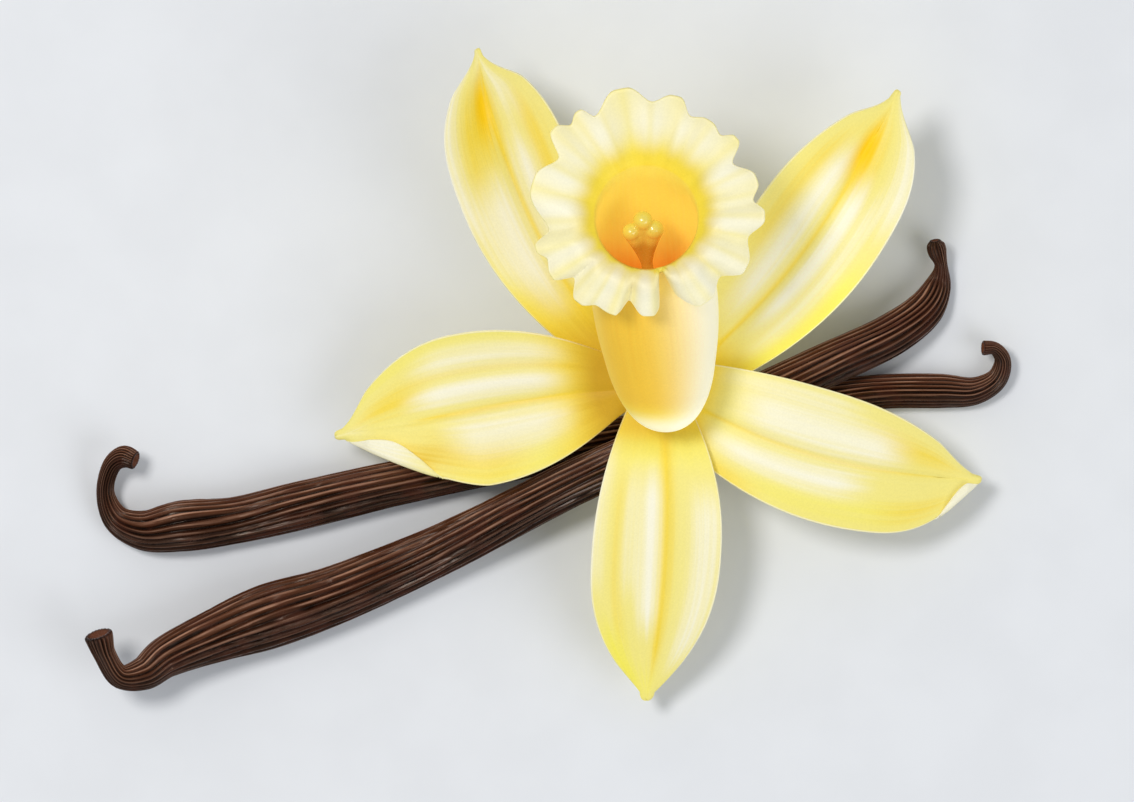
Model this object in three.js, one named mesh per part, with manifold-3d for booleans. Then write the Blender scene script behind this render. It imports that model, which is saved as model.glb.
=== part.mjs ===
// Two dried vanilla pods lying crossed, with an open vanilla flower laid on the crossing.
// Millimetres. While the pieces are made, x runs to the right, y runs away from the near edge,
// z is up, and the point where the two pods cross is at x = 0, y = 0. The whole is moved at the
// end so that the middle of its footprint is the origin. The table is z = 0.
import * as THREE from "three";
import { mergeVertices } from "three/addons/utils/BufferGeometryUtils.js";
import Module from "manifold-3d";

const { Vector3, MathUtils } = THREE;

// Pods: a long bean with wrinkled, ridged skin and a thin hooked neck at either end.
const POD_RIDGES = 13;
const RIDGE_DEPTH = 0.18; // share of the half width
const RIDGE_UNEVEN = 0.4; // share of that depth that comes and goes along the pod
const RIDGE_WAVES = 13; // radians of coming and going from tip to tip
const SKIN_SWAY = 0.16; // radians that the ridges sway round the pod
const SKIN_SWAY_WAVES = 11;
const STEPS_PER_STATION = 3;
const TIP_HOLLOW = 0.35; // how far the cut end of a tip is sunk in

// Flower leaves: five pale petals, thickest along the middle.
const PETAL_THICK = 0.95;
const PETAL_EDGE = 0.5;
const PETAL_TIP = 0.045; // half width of the pinched tip, as a share of the greatest
const GROOVE_DEPTH = 0.45;
const GROOVE_WIDTH = 0.16; // share of the half width
const EDGE_WAVE = 0.35; // rise and fall of the petal's edges
const PETAL_ROWS = 18;
const PETAL_COLUMNS = 8;

// Trumpet: the thin-walled lip of the flower, with its ruffled mouth.
const TRUMPET_WALL = 0.8;
const TRUMPET_EDGE = 0.5;
const MOUTH_RADIUS = 8.3;
const MOUTH_LEAN = 18; // degrees that the mouth faces away from straight up
const FOOT_LEAN = 77;
const TUBE_STEPS = 8;
const FOOT_ROUNDS = [0.32, 0.62]; // rings of the rounded foot, as shares of its half width
const LIP_ROWS = [0.14, 0.4, 0.7, 1]; // rings of the lip, as shares of the way to its edge
const LIP_RISE = 6.2; // how far the far side of the lip stands up
const LIP_CREST = 1.5; // how far the near side swells up before it hangs over
const LIP_HANG = 3.2;
const RUFFLE = 1.15; // rise of each crown and fall of each notch at the edge
const FLANK = 0.85; // reach of a lobe's flank, between its notch and its crown

// Stations along each pod from its left tip to its right tip: x, y and height of the middle of
// the pod, then how wide the pod is there.
const LOWER_POD = [
  [-96.7, -6.3, 6.6, 2.9],
  [-100.1, -6.7, 5.6, 3.1],
  [-101.7, -11.8, 3.7, 3.1],
  [-99.8, -16.2, 2.8, 4.4],
  [-95.3, -18.3, 3.2, 7.1],
  [-88.7, -17.6, 3.95, 9.0],
  [-79.7, -16.6, 3.65, 8.2],
  [-68.7, -14.2, 3.7, 8.4],
  [-53.5, -10.5, 3.55, 8.0],
  [-26.4, -4.9, 3.4, 7.7],
  [-0.1, 0.0, 3.1, 7.1],
  [16.0, 3.4, 2.9, 6.6],
  [30.1, 5.2, 2.65, 6.1],
  [39.8, 5.3, 2.2, 5.1],
  [45.7, 5.6, 1.95, 4.1],
  [49.6, 7.7, 2.6, 3.1],
  [50.5, 10.6, 3.4, 2.7],
  [48.9, 12.5, 4.2, 2.3],
  [47.0, 12.6, 4.6, 2.6],
];
const UPPER_POD = [
  [-102.2, -35.6, 13.4, 4.9],
  [-101.1, -39.0, 12.2, 3.7],
  [-98.4, -42.2, 10.8, 4.2],
  [-95.0, -42.1, 9.6, 5.3],
  [-91.2, -39.6, 8.4, 6.8],
  [-83.2, -35.9, 6.4, 8.8],
  [-74.4, -33.1, 4.6, 10.7],
  [-63.6, -29.6, 4.2, 9.9],
  [-44.5, -21.3, 5.3, 8.5],
  [-23.7, -10.8, 9.2, 8.0],
  [-11.2, -5.0, 10.8, 7.9],
  [-0.3, 0.1, 11.15, 7.8],
  [10.6, 5.2, 10.3, 7.8],
  [21.0, 10.0, 8.3, 7.7],
  [31.6, 15.1, 4.6, 7.3],
  [37.2, 19.4, 2.6, 6.4],
  [39.5, 23.4, 1.95, 4.6],
  [39.9, 26.6, 3.1, 2.3],
  [38.9, 30.3, 4.4, 3.3],
];

// Petals. root and tip: where the petal starts under the trumpet and where it ends. half: its
// greatest half width, reached at the share "fullest" of its length. narrow: half width at the
// root as a share of the greatest. bow: how far its middle line swings to the left of straight.
// heights: its middle line at the root, at a third, at two thirds and at the tip. cup: how far
// the edges stand above the middle. roll: how far the left edge is raised at the root.
const PETALS = [
  {
    name: "petal_upper_left",
    root: [-11.3, 7.9],
    tip: [-38.5, 62.2],
    half: 10.6,
    fullest: 0.58,
    narrow: 0.2,
    bow: 5.0,
    heights: [15.4, 17.6, 21.2, 21.5],
    cup: 1.5,
    roll: -0.9,
    blunt: 2.8,
  },
  {
    name: "petal_upper_right",
    root: [-4.2, 7.4],
    tip: [31.8, 55.4],
    half: 11.2,
    fullest: 0.57,
    narrow: 0.36,
    bow: -4.1,
    heights: [15.4, 17.2, 19.8, 19.0],
    cup: 1.5,
    roll: 1.4,
    blunt: 2.5,
  },
  {
    name: "petal_left",
    root: [-10.4, 5.7],
    tip: [-62.6, -2.3],
    half: 12.9,
    fullest: 0.53,
    narrow: 0.28,
    bow: -1.5,
    heights: [16.8, 16.4, 13.2, 9.2],
    cup: 1.6,
    roll: -1.4,
    blunt: 2.2,
  },
  {
    name: "petal_right",
    root: [-6.0, 4.1],
    tip: [46.4, -9.7],
    half: 11.0,
    fullest: 0.56,
    narrow: 0.42,
    bow: -4.0,
    heights: [16.8, 17.6, 14.0, 7.6],
    cup: 1.5,
    roll: 1.5,
    blunt: 2.5,
  },
  {
    name: "petal_lower",
    root: [-8.4, 2.1],
    tip: [-10.1, -46.9],
    half: 11.1,
    fullest: 0.47,
    narrow: 0.5,
    bow: 0.8,
    heights: [18.1, 17.4, 13.2, 7.6],
    cup: 1.4,
    roll: 0,
    blunt: 2.5,
  },
];

// Trumpet: the middle of the tube at its closed foot, a point that it bends towards, and the
// middle of the mouth; then the half width of the tube at even steps from foot to mouth.
const TUBE_FOOT = new Vector3(-7.4, 2.4, 24.6);
const TUBE_BEND = new Vector3(-9.0, 22.0, 28.5);
const TUBE_MOUTH = new Vector3(-10.6, 33.1, 45.5);
const TUBE_RADII = [5.9, 7.9, 9.0, 9.7, 10.0, 9.9, 9.5, 8.9, MOUTH_RADIUS];
const FOOT_DEPTH = 3.5;

// Lobes of the ruffled mouth, counted anticlockwise from the right. Each: the direction of its
// crown in degrees, how far the crown reaches from the middle of the mouth, then the direction
// and the reach of the notch that follows.
const LOBES = [
  [-1.6, 19.2, 10.3, 17.7],
  [18.8, 18.9, 31.8, 16.3],
  [40.6, 19.3, 48.1, 18.1],
  [58.6, 19.1, 67.3, 18.3],
  [76.9, 20.5, 88.8, 19.2],
  [96.0, 21.3, 114.7, 18.6],
  [121.6, 20.5, 130.2, 19.9],
  [136.8, 20.7, 147.0, 17.8],
  [167.9, 18.9, 187.0, 16.3],
  [194.4, 18.6, 203.2, 17.4],
  [213.2, 17.9, 220.5, 15.6],
  [232.3, 17.5, 243.3, 16.0],
  [251.4, 16.6, 257.5, 14.0],
  [271.0, 16.0, 282.4, 9.6],
  [295.8, 15.5, 317.7, 15.6],
  [334.4, 17.7, 346.3, 16.6],
];

// Column: the middle piece of the flower, a stalk with three round heads.
const STALK_RADIUS = 1.05;
const ARM_RADIUS = 0.72;
const STALK_LINE = [
  new Vector3(-7.2, -0.1, 24.1),
  new Vector3(-8.9, 17.0, 28.6),
  new Vector3(-10.4, 26.4, 34.0),
];
const HEADS = [
  [-11.1, 32.6, 40.2, 1.7],
  [-12.7, 30.5, 38.6, 1.4],
  [-9.4, 30.4, 38.8, 1.45],
];

// Core: the small knob under the trumpet where the petals meet.
const CORE_MIDDLE = [-8.2, 4.9];
const CORE_PROFILE = [
  [0, 14.7],
  [1.2, 14.8],
  [1.7, 15.4],
  [1.8, 16.6],
  [1.6, 17.4],
  [0, 17.7],
];

const rad = MathUtils.degToRad;
const mix = MathUtils.lerp;

// A surface of points and triangles, made watertight where points coincide.
function bodyOf(points, triangles) {
  const flat = new Float32Array(points.length * 3);
  points.forEach((p, i) => p.toArray(flat, i * 3));
  const geometry = new THREE.BufferGeometry();
  geometry.setAttribute("position", new THREE.BufferAttribute(flat, 3));
  geometry.setIndex(triangles);
  return mergeVertices(geometry, 1e-3);
}

// A tube of rings, all with as many points, closed by a point at each end.
function skinOf(start, rings, end) {
  const around = rings[0].length;
  const points = [start, ...rings.flat(), end];
  const last = points.length - 1;
  const at = (row, k) => 1 + row * around + (k % around);
  const triangles = [];
  for (let k = 0; k < around; k += 1) {
    triangles.push(0, at(0, k + 1), at(0, k));
    triangles.push(last, at(rings.length - 1, k), at(rings.length - 1, k + 1));
    for (let row = 0; row + 1 < rings.length; row += 1) {
      triangles.push(at(row, k), at(row, k + 1), at(row + 1, k + 1));
      triangles.push(at(row, k), at(row + 1, k + 1), at(row + 1, k));
    }
  }
  return bodyOf(points, triangles);
}

// One pod: a ridged skin carried along a smooth line through the stations, flat where it
// lies on the table.
function podGeometry(stations, wander) {
  const line = new THREE.CatmullRomCurve3(
    stations.map(([x, y, z]) => new Vector3(x, y, z)),
    false,
    "centripetal",
  );
  const widths = new THREE.SplineCurve(
    stations.map((s, i) => new THREE.Vector2(i, s[3])),
  );
  const rows = (stations.length - 1) * STEPS_PER_STATION;
  const around = POD_RIDGES * 2;
  const rings = [];
  let side = new Vector3(0, 0, 1);
  for (let row = 0; row <= rows; row += 1) {
    const share = row / rows;
    const middle = line.getPoint(share);
    const along = line.getTangent(share);
    side = side.clone().addScaledVector(along, -side.dot(along)).normalize();
    const across = new Vector3().crossVectors(along, side);
    const radius = widths.getPoint(share).y / 2;
    const ring = [];
    for (let k = 0; k < around; k += 1) {
      const sway = SKIN_SWAY * Math.sin(share * SKIN_SWAY_WAVES + wander);
      const turn = (2 * Math.PI * k) / around + sway;
      const ripple = Math.sin(k * 2.4 + share * RIDGE_WAVES + wander);
      const uneven = 1 - RIDGE_UNEVEN + RIDGE_UNEVEN * ripple;
      const reach = radius * (k % 2 ? 1 - RIDGE_DEPTH * uneven : 1);
      const point = middle
        .clone()
        .addScaledVector(side, reach * Math.cos(turn))
        .addScaledVector(across, reach * Math.sin(turn));
      point.z = Math.max(point.z, 0);
      ring.push(point);
    }
    rings.push(ring);
  }
  const start = line
    .getPoint(0)
    .addScaledVector(line.getTangent(0), TIP_HOLLOW);
  const end = line.getPoint(1).addScaledVector(line.getTangent(1), -TIP_HOLLOW);
  return skinOf(start, rings, end);
}

// Half width of a petal at a share of its length.
function petalHalf(petal, share) {
  const { half, fullest, narrow, blunt } = petal;
  if (share < fullest) {
    const back = (fullest - share) / fullest;
    return half * (1 - (1 - narrow) * back * back);
  }
  const on = (share - fullest) / (1 - fullest);
  return half * Math.max(PETAL_TIP, (1 - on ** blunt) ** 1.08);
}

// A point of a petal's middle surface. share runs from root to tip, over from the right edge
// (-1) to the left edge (1), seen from the root.
function petalPoint(petal, rise, share, over) {
  const root = new THREE.Vector2(...petal.root);
  const run = new THREE.Vector2(...petal.tip).sub(root);
  const length = run.length();
  const ahead = run.clone().divideScalar(length);
  const left = new THREE.Vector2(-ahead.y, ahead.x);
  const swing = petal.bow * Math.sin(Math.PI * share ** 0.9);
  const half = petalHalf(petal, share);
  const plan = root
    .clone()
    .addScaledVector(ahead, length * share)
    .addScaledVector(left, swing + over * half);
  const fullness = half / petal.half;
  const groove = -GROOVE_DEPTH * Math.exp(-((over / GROOVE_WIDTH) ** 2)) * fullness;
  const cup = petal.cup * over * over * fullness * Math.min(1, share * 2.4);
  const roll = petal.roll * over * fullness * (1 - share) * 1.5;
  const wave = EDGE_WAVE * Math.sin(share * 9 + over * 2.2) * Math.abs(over) * share;
  const z = rise.getPoint(share).y + groove + cup + roll + wave;
  return new Vector3(plan.x, plan.y, z);
}

// One petal: the middle surface thickened both ways, with both faces split alike.
function petalGeometry(petal) {
  const rise = new THREE.SplineCurve(
    petal.heights.map((h, i) => new THREE.Vector2(i, h)),
  );
  const points = [];
  for (const face of [1, -1])
    for (let row = 0; row <= PETAL_ROWS; row += 1)
      for (let column = 0; column <= PETAL_COLUMNS; column += 1) {
        const share = Math.sin((row / PETAL_ROWS) * (Math.PI / 2)) ** 1.25;
        const over = (2 * column) / PETAL_COLUMNS - 1;
        const here = petalPoint(petal, rise, share, over);
        const near = MathUtils.clamp(share, 0.03, 0.97);
        const forward = petalPoint(petal, rise, near + 0.02, over * 0.96)
          .sub(petalPoint(petal, rise, near - 0.02, over * 0.96));
        const sideways = petalPoint(petal, rise, near, over * 0.96 + 0.03)
          .sub(petalPoint(petal, rise, near, over * 0.96 - 0.03));
        const up = new Vector3().crossVectors(forward, sideways).normalize();
        const thick = mix(PETAL_THICK, PETAL_EDGE, Math.abs(over) ** 1.5);
        points.push(here.addScaledVector(up, (face * thick) / 2));
      }
  const wide = PETAL_COLUMNS + 1;
  const layer = (PETAL_ROWS + 1) * wide;
  const triangles = [];
  for (let row = 0; row < PETAL_ROWS; row += 1)
    for (let column = 0; column < PETAL_COLUMNS; column += 1) {
      const a = row * wide + column;
      const [b, c, d] = [a + 1, a + wide + 1, a + wide];
      triangles.push(a, c, b, a, d, c);
      triangles.push(layer + a, layer + b, layer + c);
      triangles.push(layer + a, layer + c, layer + d);
    }
  const rim = [];
  for (let column = 0; column < PETAL_COLUMNS; column += 1) rim.push(column);
  for (let row = 0; row < PETAL_ROWS; row += 1)
    rim.push(row * wide + PETAL_COLUMNS);
  for (let column = PETAL_COLUMNS; column > 0; column -= 1)
    rim.push(PETAL_ROWS * wide + column);
  for (let row = PETAL_ROWS; row > 0; row -= 1) rim.push(row * wide);
  rim.forEach((a, i) => {
    const b = rim[(i + 1) % rim.length];
    triangles.push(a, b, layer + b, a, layer + b, layer + a);
  });
  return bodyOf(points, triangles);
}

// The columns of the trumpet: a crown, a notch and the two flanks between them for each lobe.
function trumpetColumns() {
  const columns = [];
  LOBES.forEach(([crown, reach, notch, depth], i) => {
    const before = LOBES[(i + LOBES.length - 1) % LOBES.length];
    const from = before[2] - (i === 0 ? 360 : 0);
    columns.push(
      { angle: mix(from, crown, 0.5), reach: mix(before[3], reach, FLANK), lift: 0.1 },
      { angle: crown, reach, lift: 1 },
      { angle: mix(crown, notch, 0.5), reach: mix(depth, reach, FLANK), lift: 0.1 },
      { angle: notch, reach: depth, lift: -1 },
    );
  });
  return columns;
}

// The middle surface of the trumpet wall: the tube from its foot to the mouth, then the
// ruffled lip that folds out. Rows run from foot to edge.
function trumpetRows() {
  const line = new THREE.QuadraticBezierCurve3(TUBE_FOOT, TUBE_BEND, TUBE_MOUTH);
  const radii = new THREE.SplineCurve(
    TUBE_RADII.map((r, i) => new THREE.Vector2(i, r)),
  );
  const columns = trumpetColumns();
  const rows = [];
  const ring = (middle, lean, radius) =>
    columns.map(({ angle }) => {
      const turn = rad(angle);
      const tall = radius * Math.sin(turn);
      return new Vector3(
        middle.x + radius * Math.cos(turn),
        middle.y + tall * Math.cos(rad(lean)),
        middle.z - tall * Math.sin(rad(lean)),
      );
    });
  const back = line.getTangent(0).multiplyScalar(-FOOT_DEPTH);
  for (const round of FOOT_ROUNDS) {
    const middle = TUBE_FOOT.clone().addScaledVector(back, Math.sqrt(1 - round ** 2) - 0.04);
    rows.push(ring(middle, FOOT_LEAN, TUBE_RADII[0] * round * 1.12));
  }
  for (let i = 0; i <= TUBE_STEPS; i += 1) {
    const share = i / TUBE_STEPS;
    const lean = mix(FOOT_LEAN, MOUTH_LEAN, share);
    rows.push(ring(line.getPoint(share), lean, radii.getPoint(share).y));
  }
  for (const out of LIP_ROWS)
    rows.push(
      columns.map(({ angle, reach, lift }) => {
        const turn = rad(angle);
        const radius = mix(MOUTH_RADIUS, reach, out);
        const rear = 0.5 + 0.5 * Math.sin(turn);
        const slope = -Math.tan(rad(MOUTH_LEAN)) * radius * Math.sin(turn);
        const crest = LIP_CREST * Math.sin(Math.PI * Math.min(1, out * 1.6));
        const flare = mix(crest - LIP_HANG * out ** 2, LIP_RISE * out ** 0.8, rear);
        const ruffle = RUFFLE * lift * out ** 1.6;
        return new Vector3(
          TUBE_MOUTH.x + radius * Math.cos(turn),
          TUBE_MOUTH.y + radius * Math.sin(turn),
          TUBE_MOUTH.z + slope + flare + ruffle,
        );
      }),
    );
  const pole = TUBE_FOOT.clone().add(back);
  return { pole, rows, back: back.normalize() };
}

// The trumpet as a closed thin wall: out from the foot to the edge, and back down inside.
function trumpetGeometry() {
  const { pole, rows, back } = trumpetRows();
  const around = rows[0].length;
  const wallAt = (row, k, face) => {
    const before = row > 0 ? rows[row - 1][k] : pole;
    const after = rows[Math.min(row + 1, rows.length - 1)][k];
    const left = rows[row][(k + around - 1) % around];
    const right = rows[row][(k + 1) % around];
    const up = new Vector3().subVectors(after, before);
    const out = new Vector3().subVectors(right, left).cross(up).normalize();
    const thick = row === rows.length - 1 ? TRUMPET_EDGE : TRUMPET_WALL;
    return rows[row][k].clone().addScaledVector(out, (face * thick) / 2);
  };
  const rings = [];
  for (let row = 0; row < rows.length; row += 1)
    rings.push(rows[row].map((_, k) => wallAt(row, k, 1)));
  for (let row = rows.length - 1; row >= 0; row -= 1)
    rings.push(rows[row].map((_, k) => wallAt(row, k, -1)));
  const outside = pole.clone().addScaledVector(back, TRUMPET_WALL / 2);
  const inside = pole.clone().addScaledVector(back, -TRUMPET_WALL / 2);
  return skinOf(outside, rings, inside);
}

const wasm = await Module();
wasm.setup();

// A geometry as a solid that can be joined to others, and back.
function solidOf(geometry) {
  const bare = new THREE.BufferGeometry();
  bare.setAttribute("position", geometry.getAttribute("position"));
  bare.setIndex(geometry.index);
  const merged = mergeVertices(bare, 1e-3);
  return new wasm.Manifold(
    new wasm.Mesh({
      numProp: 3,
      vertProperties: merged.attributes.position.array,
      triVerts: new Uint32Array(merged.index.array),
    }),
  );
}
function geometryOf(solid) {
  const mesh = solid.getMesh();
  const geometry = new THREE.BufferGeometry();
  geometry.setAttribute(
    "position",
    new THREE.BufferAttribute(new Float32Array(mesh.vertProperties), 3),
  );
  geometry.setIndex([...mesh.triVerts]);
  return geometry;
}

// A round rod through the points, closed at both ends.
function rodGeometry(points, radius, around, rows) {
  const line = new THREE.CatmullRomCurve3(points);
  const rings = [];
  let side = new Vector3(1, 0, 0);
  for (let row = 0; row <= rows; row += 1) {
    const along = line.getTangent(row / rows);
    side = side.clone().addScaledVector(along, -side.dot(along)).normalize();
    const across = new Vector3().crossVectors(along, side);
    rings.push(
      Array.from({ length: around }, (_, k) => {
        const turn = (2 * Math.PI * k) / around;
        return line
          .getPoint(row / rows)
          .addScaledVector(side, radius * Math.cos(turn))
          .addScaledVector(across, radius * Math.sin(turn));
      }),
    );
  }
  return skinOf(line.getPoint(0), rings, line.getPoint(1));
}

// The column: a stalk up the tube that ends in three short arms, each with a round head.
function columnGeometry() {
  const [, bend, fork] = STALK_LINE;
  const start = fork.clone().lerp(bend, 0.08);
  let whole = solidOf(rodGeometry(STALK_LINE, STALK_RADIUS, 8, 6));
  for (const [x, y, z, radius] of HEADS) {
    const head = new Vector3(x, y, z);
    const arm = solidOf(rodGeometry([start, head], ARM_RADIUS, 6, 1));
    const ball = new THREE.SphereGeometry(radius, 10, 7);
    ball.scale(1, 1, 1.15);
    ball.translate(x, y, z);
    whole = whole.add(arm).add(solidOf(ball));
  }
  return geometryOf(whole);
}

// The core: a small round knob.
function coreGeometry() {
  const profile = CORE_PROFILE.map(([r, z]) => new THREE.Vector2(r, z));
  const core = new THREE.LatheGeometry(profile, 14);
  core.rotateX(Math.PI / 2);
  core.translate(CORE_MIDDLE[0], CORE_MIDDLE[1], 0);
  return mergeVertices(core.deleteAttribute("uv").deleteAttribute("normal"), 1e-3);
}

const POD_BROWN = 0x3a1f14;
const PETAL_YELLOW = 0xf6e27a;
const TRUMPET_CREAM = 0xf8e9a0;
const COLUMN_GOLD = 0xf2c23a;
const CORE_GREEN = 0xb9c06a;

function pieceOf(name, geometry, color, roughness) {
  geometry.computeVertexNormals();
  const skin = new THREE.MeshStandardMaterial({ color, roughness });
  const mesh = new THREE.Mesh(geometry, skin);
  mesh.name = name;
  return mesh;
}

const whole = new THREE.Group();
whole.add(
  pieceOf("pod_lower", podGeometry(LOWER_POD, 0.4), POD_BROWN, 0.45),
  pieceOf("pod_upper", podGeometry(UPPER_POD, 2.1), POD_BROWN, 0.45),
  ...PETALS.map((petal) =>
    pieceOf(petal.name, petalGeometry(petal), PETAL_YELLOW, 0.5),
  ),
  pieceOf("trumpet", trumpetGeometry(), TRUMPET_CREAM, 0.5),
  pieceOf("column", columnGeometry(), COLUMN_GOLD, 0.4),
  pieceOf("flower_core", coreGeometry(), CORE_GREEN, 0.5),
);

const box = new THREE.Box3().setFromObject(whole, true);
const middle = box.getCenter(new Vector3());
whole.position.set(-middle.x, -middle.y, -box.min.z);

export default whole;
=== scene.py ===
"""Looks of two crossed vanilla pods with a vanilla flower laid on the crossing.

The pods are swept by geometry nodes, the flower is made in mesh code, and every finish is a
node material. Sizes in the lists are millimetres in the layout of the CAD part, where the two
pods cross at x = 0, y = 0. Everything that reaches Blender is in metres, in the CAD's frame.
"""
import math

import bmesh
import bpy
import numpy as np
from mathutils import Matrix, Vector


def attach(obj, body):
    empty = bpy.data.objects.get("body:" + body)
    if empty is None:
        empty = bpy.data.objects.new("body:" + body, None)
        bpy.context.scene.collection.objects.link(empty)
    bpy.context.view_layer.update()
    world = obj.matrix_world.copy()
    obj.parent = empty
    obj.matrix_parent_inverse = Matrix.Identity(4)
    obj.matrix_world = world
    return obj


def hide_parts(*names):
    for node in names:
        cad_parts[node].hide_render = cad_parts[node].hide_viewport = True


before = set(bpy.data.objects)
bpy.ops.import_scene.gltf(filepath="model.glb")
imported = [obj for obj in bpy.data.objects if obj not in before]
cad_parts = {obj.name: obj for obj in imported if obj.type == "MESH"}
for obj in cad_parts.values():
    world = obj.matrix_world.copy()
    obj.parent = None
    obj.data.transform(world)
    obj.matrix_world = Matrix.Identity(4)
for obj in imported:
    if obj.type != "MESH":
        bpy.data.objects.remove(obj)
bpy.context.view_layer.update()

bl_info = {
    "name": "Vanilla pods with a flower",
    "version": (1, 0, 0),
    "blender": (4, 5, 0),
    "location": "3D View > Sidebar > Vanilla",
    "description": "Makes the pods, the flower and the stage of a vanilla still life",
    "category": "Object",
}

BODY = "root"
MM = 0.001
WELD = 0.002  # points nearer than this are joined
LAYOUT_TO_FRAME = np.array([26.333, -7.693, 0.0])

# Stations along each pod from its left tip to its right tip: x, y and height of the middle of
# the pod, then how wide the pod is there.
LOWER_POD = [
    [-96.5, -6.4, 6.8, 3.3], [-98.3, -5.8, 6.2, 3.9], [-100.3, -7.0, 5.4, 3.3],
    [-101.7, -11.8, 3.7, 3.2], [-99.9, -16.3, 2.8, 4.9], [-95.3, -18.3, 3.2, 7.1],
    [-88.7, -17.6, 3.95, 9.0], [-79.7, -16.6, 3.65, 8.2], [-68.7, -14.1, 3.7, 8.5],
    [-53.5, -10.5, 3.55, 8.0], [-26.4, -4.9, 3.4, 7.7], [-0.1, 0.0, 3.1, 7.1],
    [16.0, 3.4, 2.9, 6.6], [30.1, 5.2, 2.65, 6.1], [39.8, 5.3, 2.35, 6.0],
    [45.7, 5.3, 2.1, 4.9], [49.4, 7.4, 2.6, 3.8], [50.3, 10.6, 3.4, 2.9],
    [48.9, 12.5, 4.2, 2.3], [47.0, 12.6, 4.6, 2.6],
]
UPPER_POD = [
    [-102.1, -35.7, 13.4, 5.0], [-101.1, -39.0, 12.2, 3.9], [-98.7, -42.7, 10.8, 4.2],
    [-94.9, -42.3, 9.6, 5.9], [-91.2, -39.6, 8.4, 7.3], [-83.1, -36.1, 6.4, 9.3],
    [-74.4, -33.0, 4.9, 11.3], [-63.6, -29.5, 4.6, 10.4], [-44.5, -21.4, 5.4, 8.8],
    [-23.7, -10.8, 9.2, 8.0], [-11.2, -5.0, 10.8, 7.9], [-0.3, 0.1, 11.15, 7.8],
    [10.6, 5.2, 10.3, 7.8], [21.0, 10.0, 8.3, 7.7], [31.7, 15.0, 4.6, 7.5],
    [37.3, 19.3, 2.7, 6.6], [39.5, 23.4, 1.95, 4.6], [39.9, 26.6, 3.1, 2.3],
    [39.2, 28.9, 3.9, 3.3], [38.9, 30.1, 4.3, 3.1], [38.8, 30.7, 4.5, 2.0],
]
POD_STEPS = 22  # steps of the path between two stations
POD_SIDES = 156
RIDGE_SWAY = 0.1  # turns that the ridges stray to and fro round the pod
RIDGE_TWIST = 0.006  # turns that they wind round the pod in each centimetre
FURROW_SHARPNESS = 1.3
WRINKLE_SHARPNESS = 2.0
WRINKLE_SHARES = (0.02, 0.42)  # least and greatest depth of the wrinkles, against the furrows
# Rings that close a cut end: share of its radius, and how far out they lie as a share of it.
CUT_RINGS = ((0.93, 0.1), (0.8, 0.13), (0.66, 0.02), (0.45, -0.16), (0.2, -0.24))
CUT_DEPTH = 0.27

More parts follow.
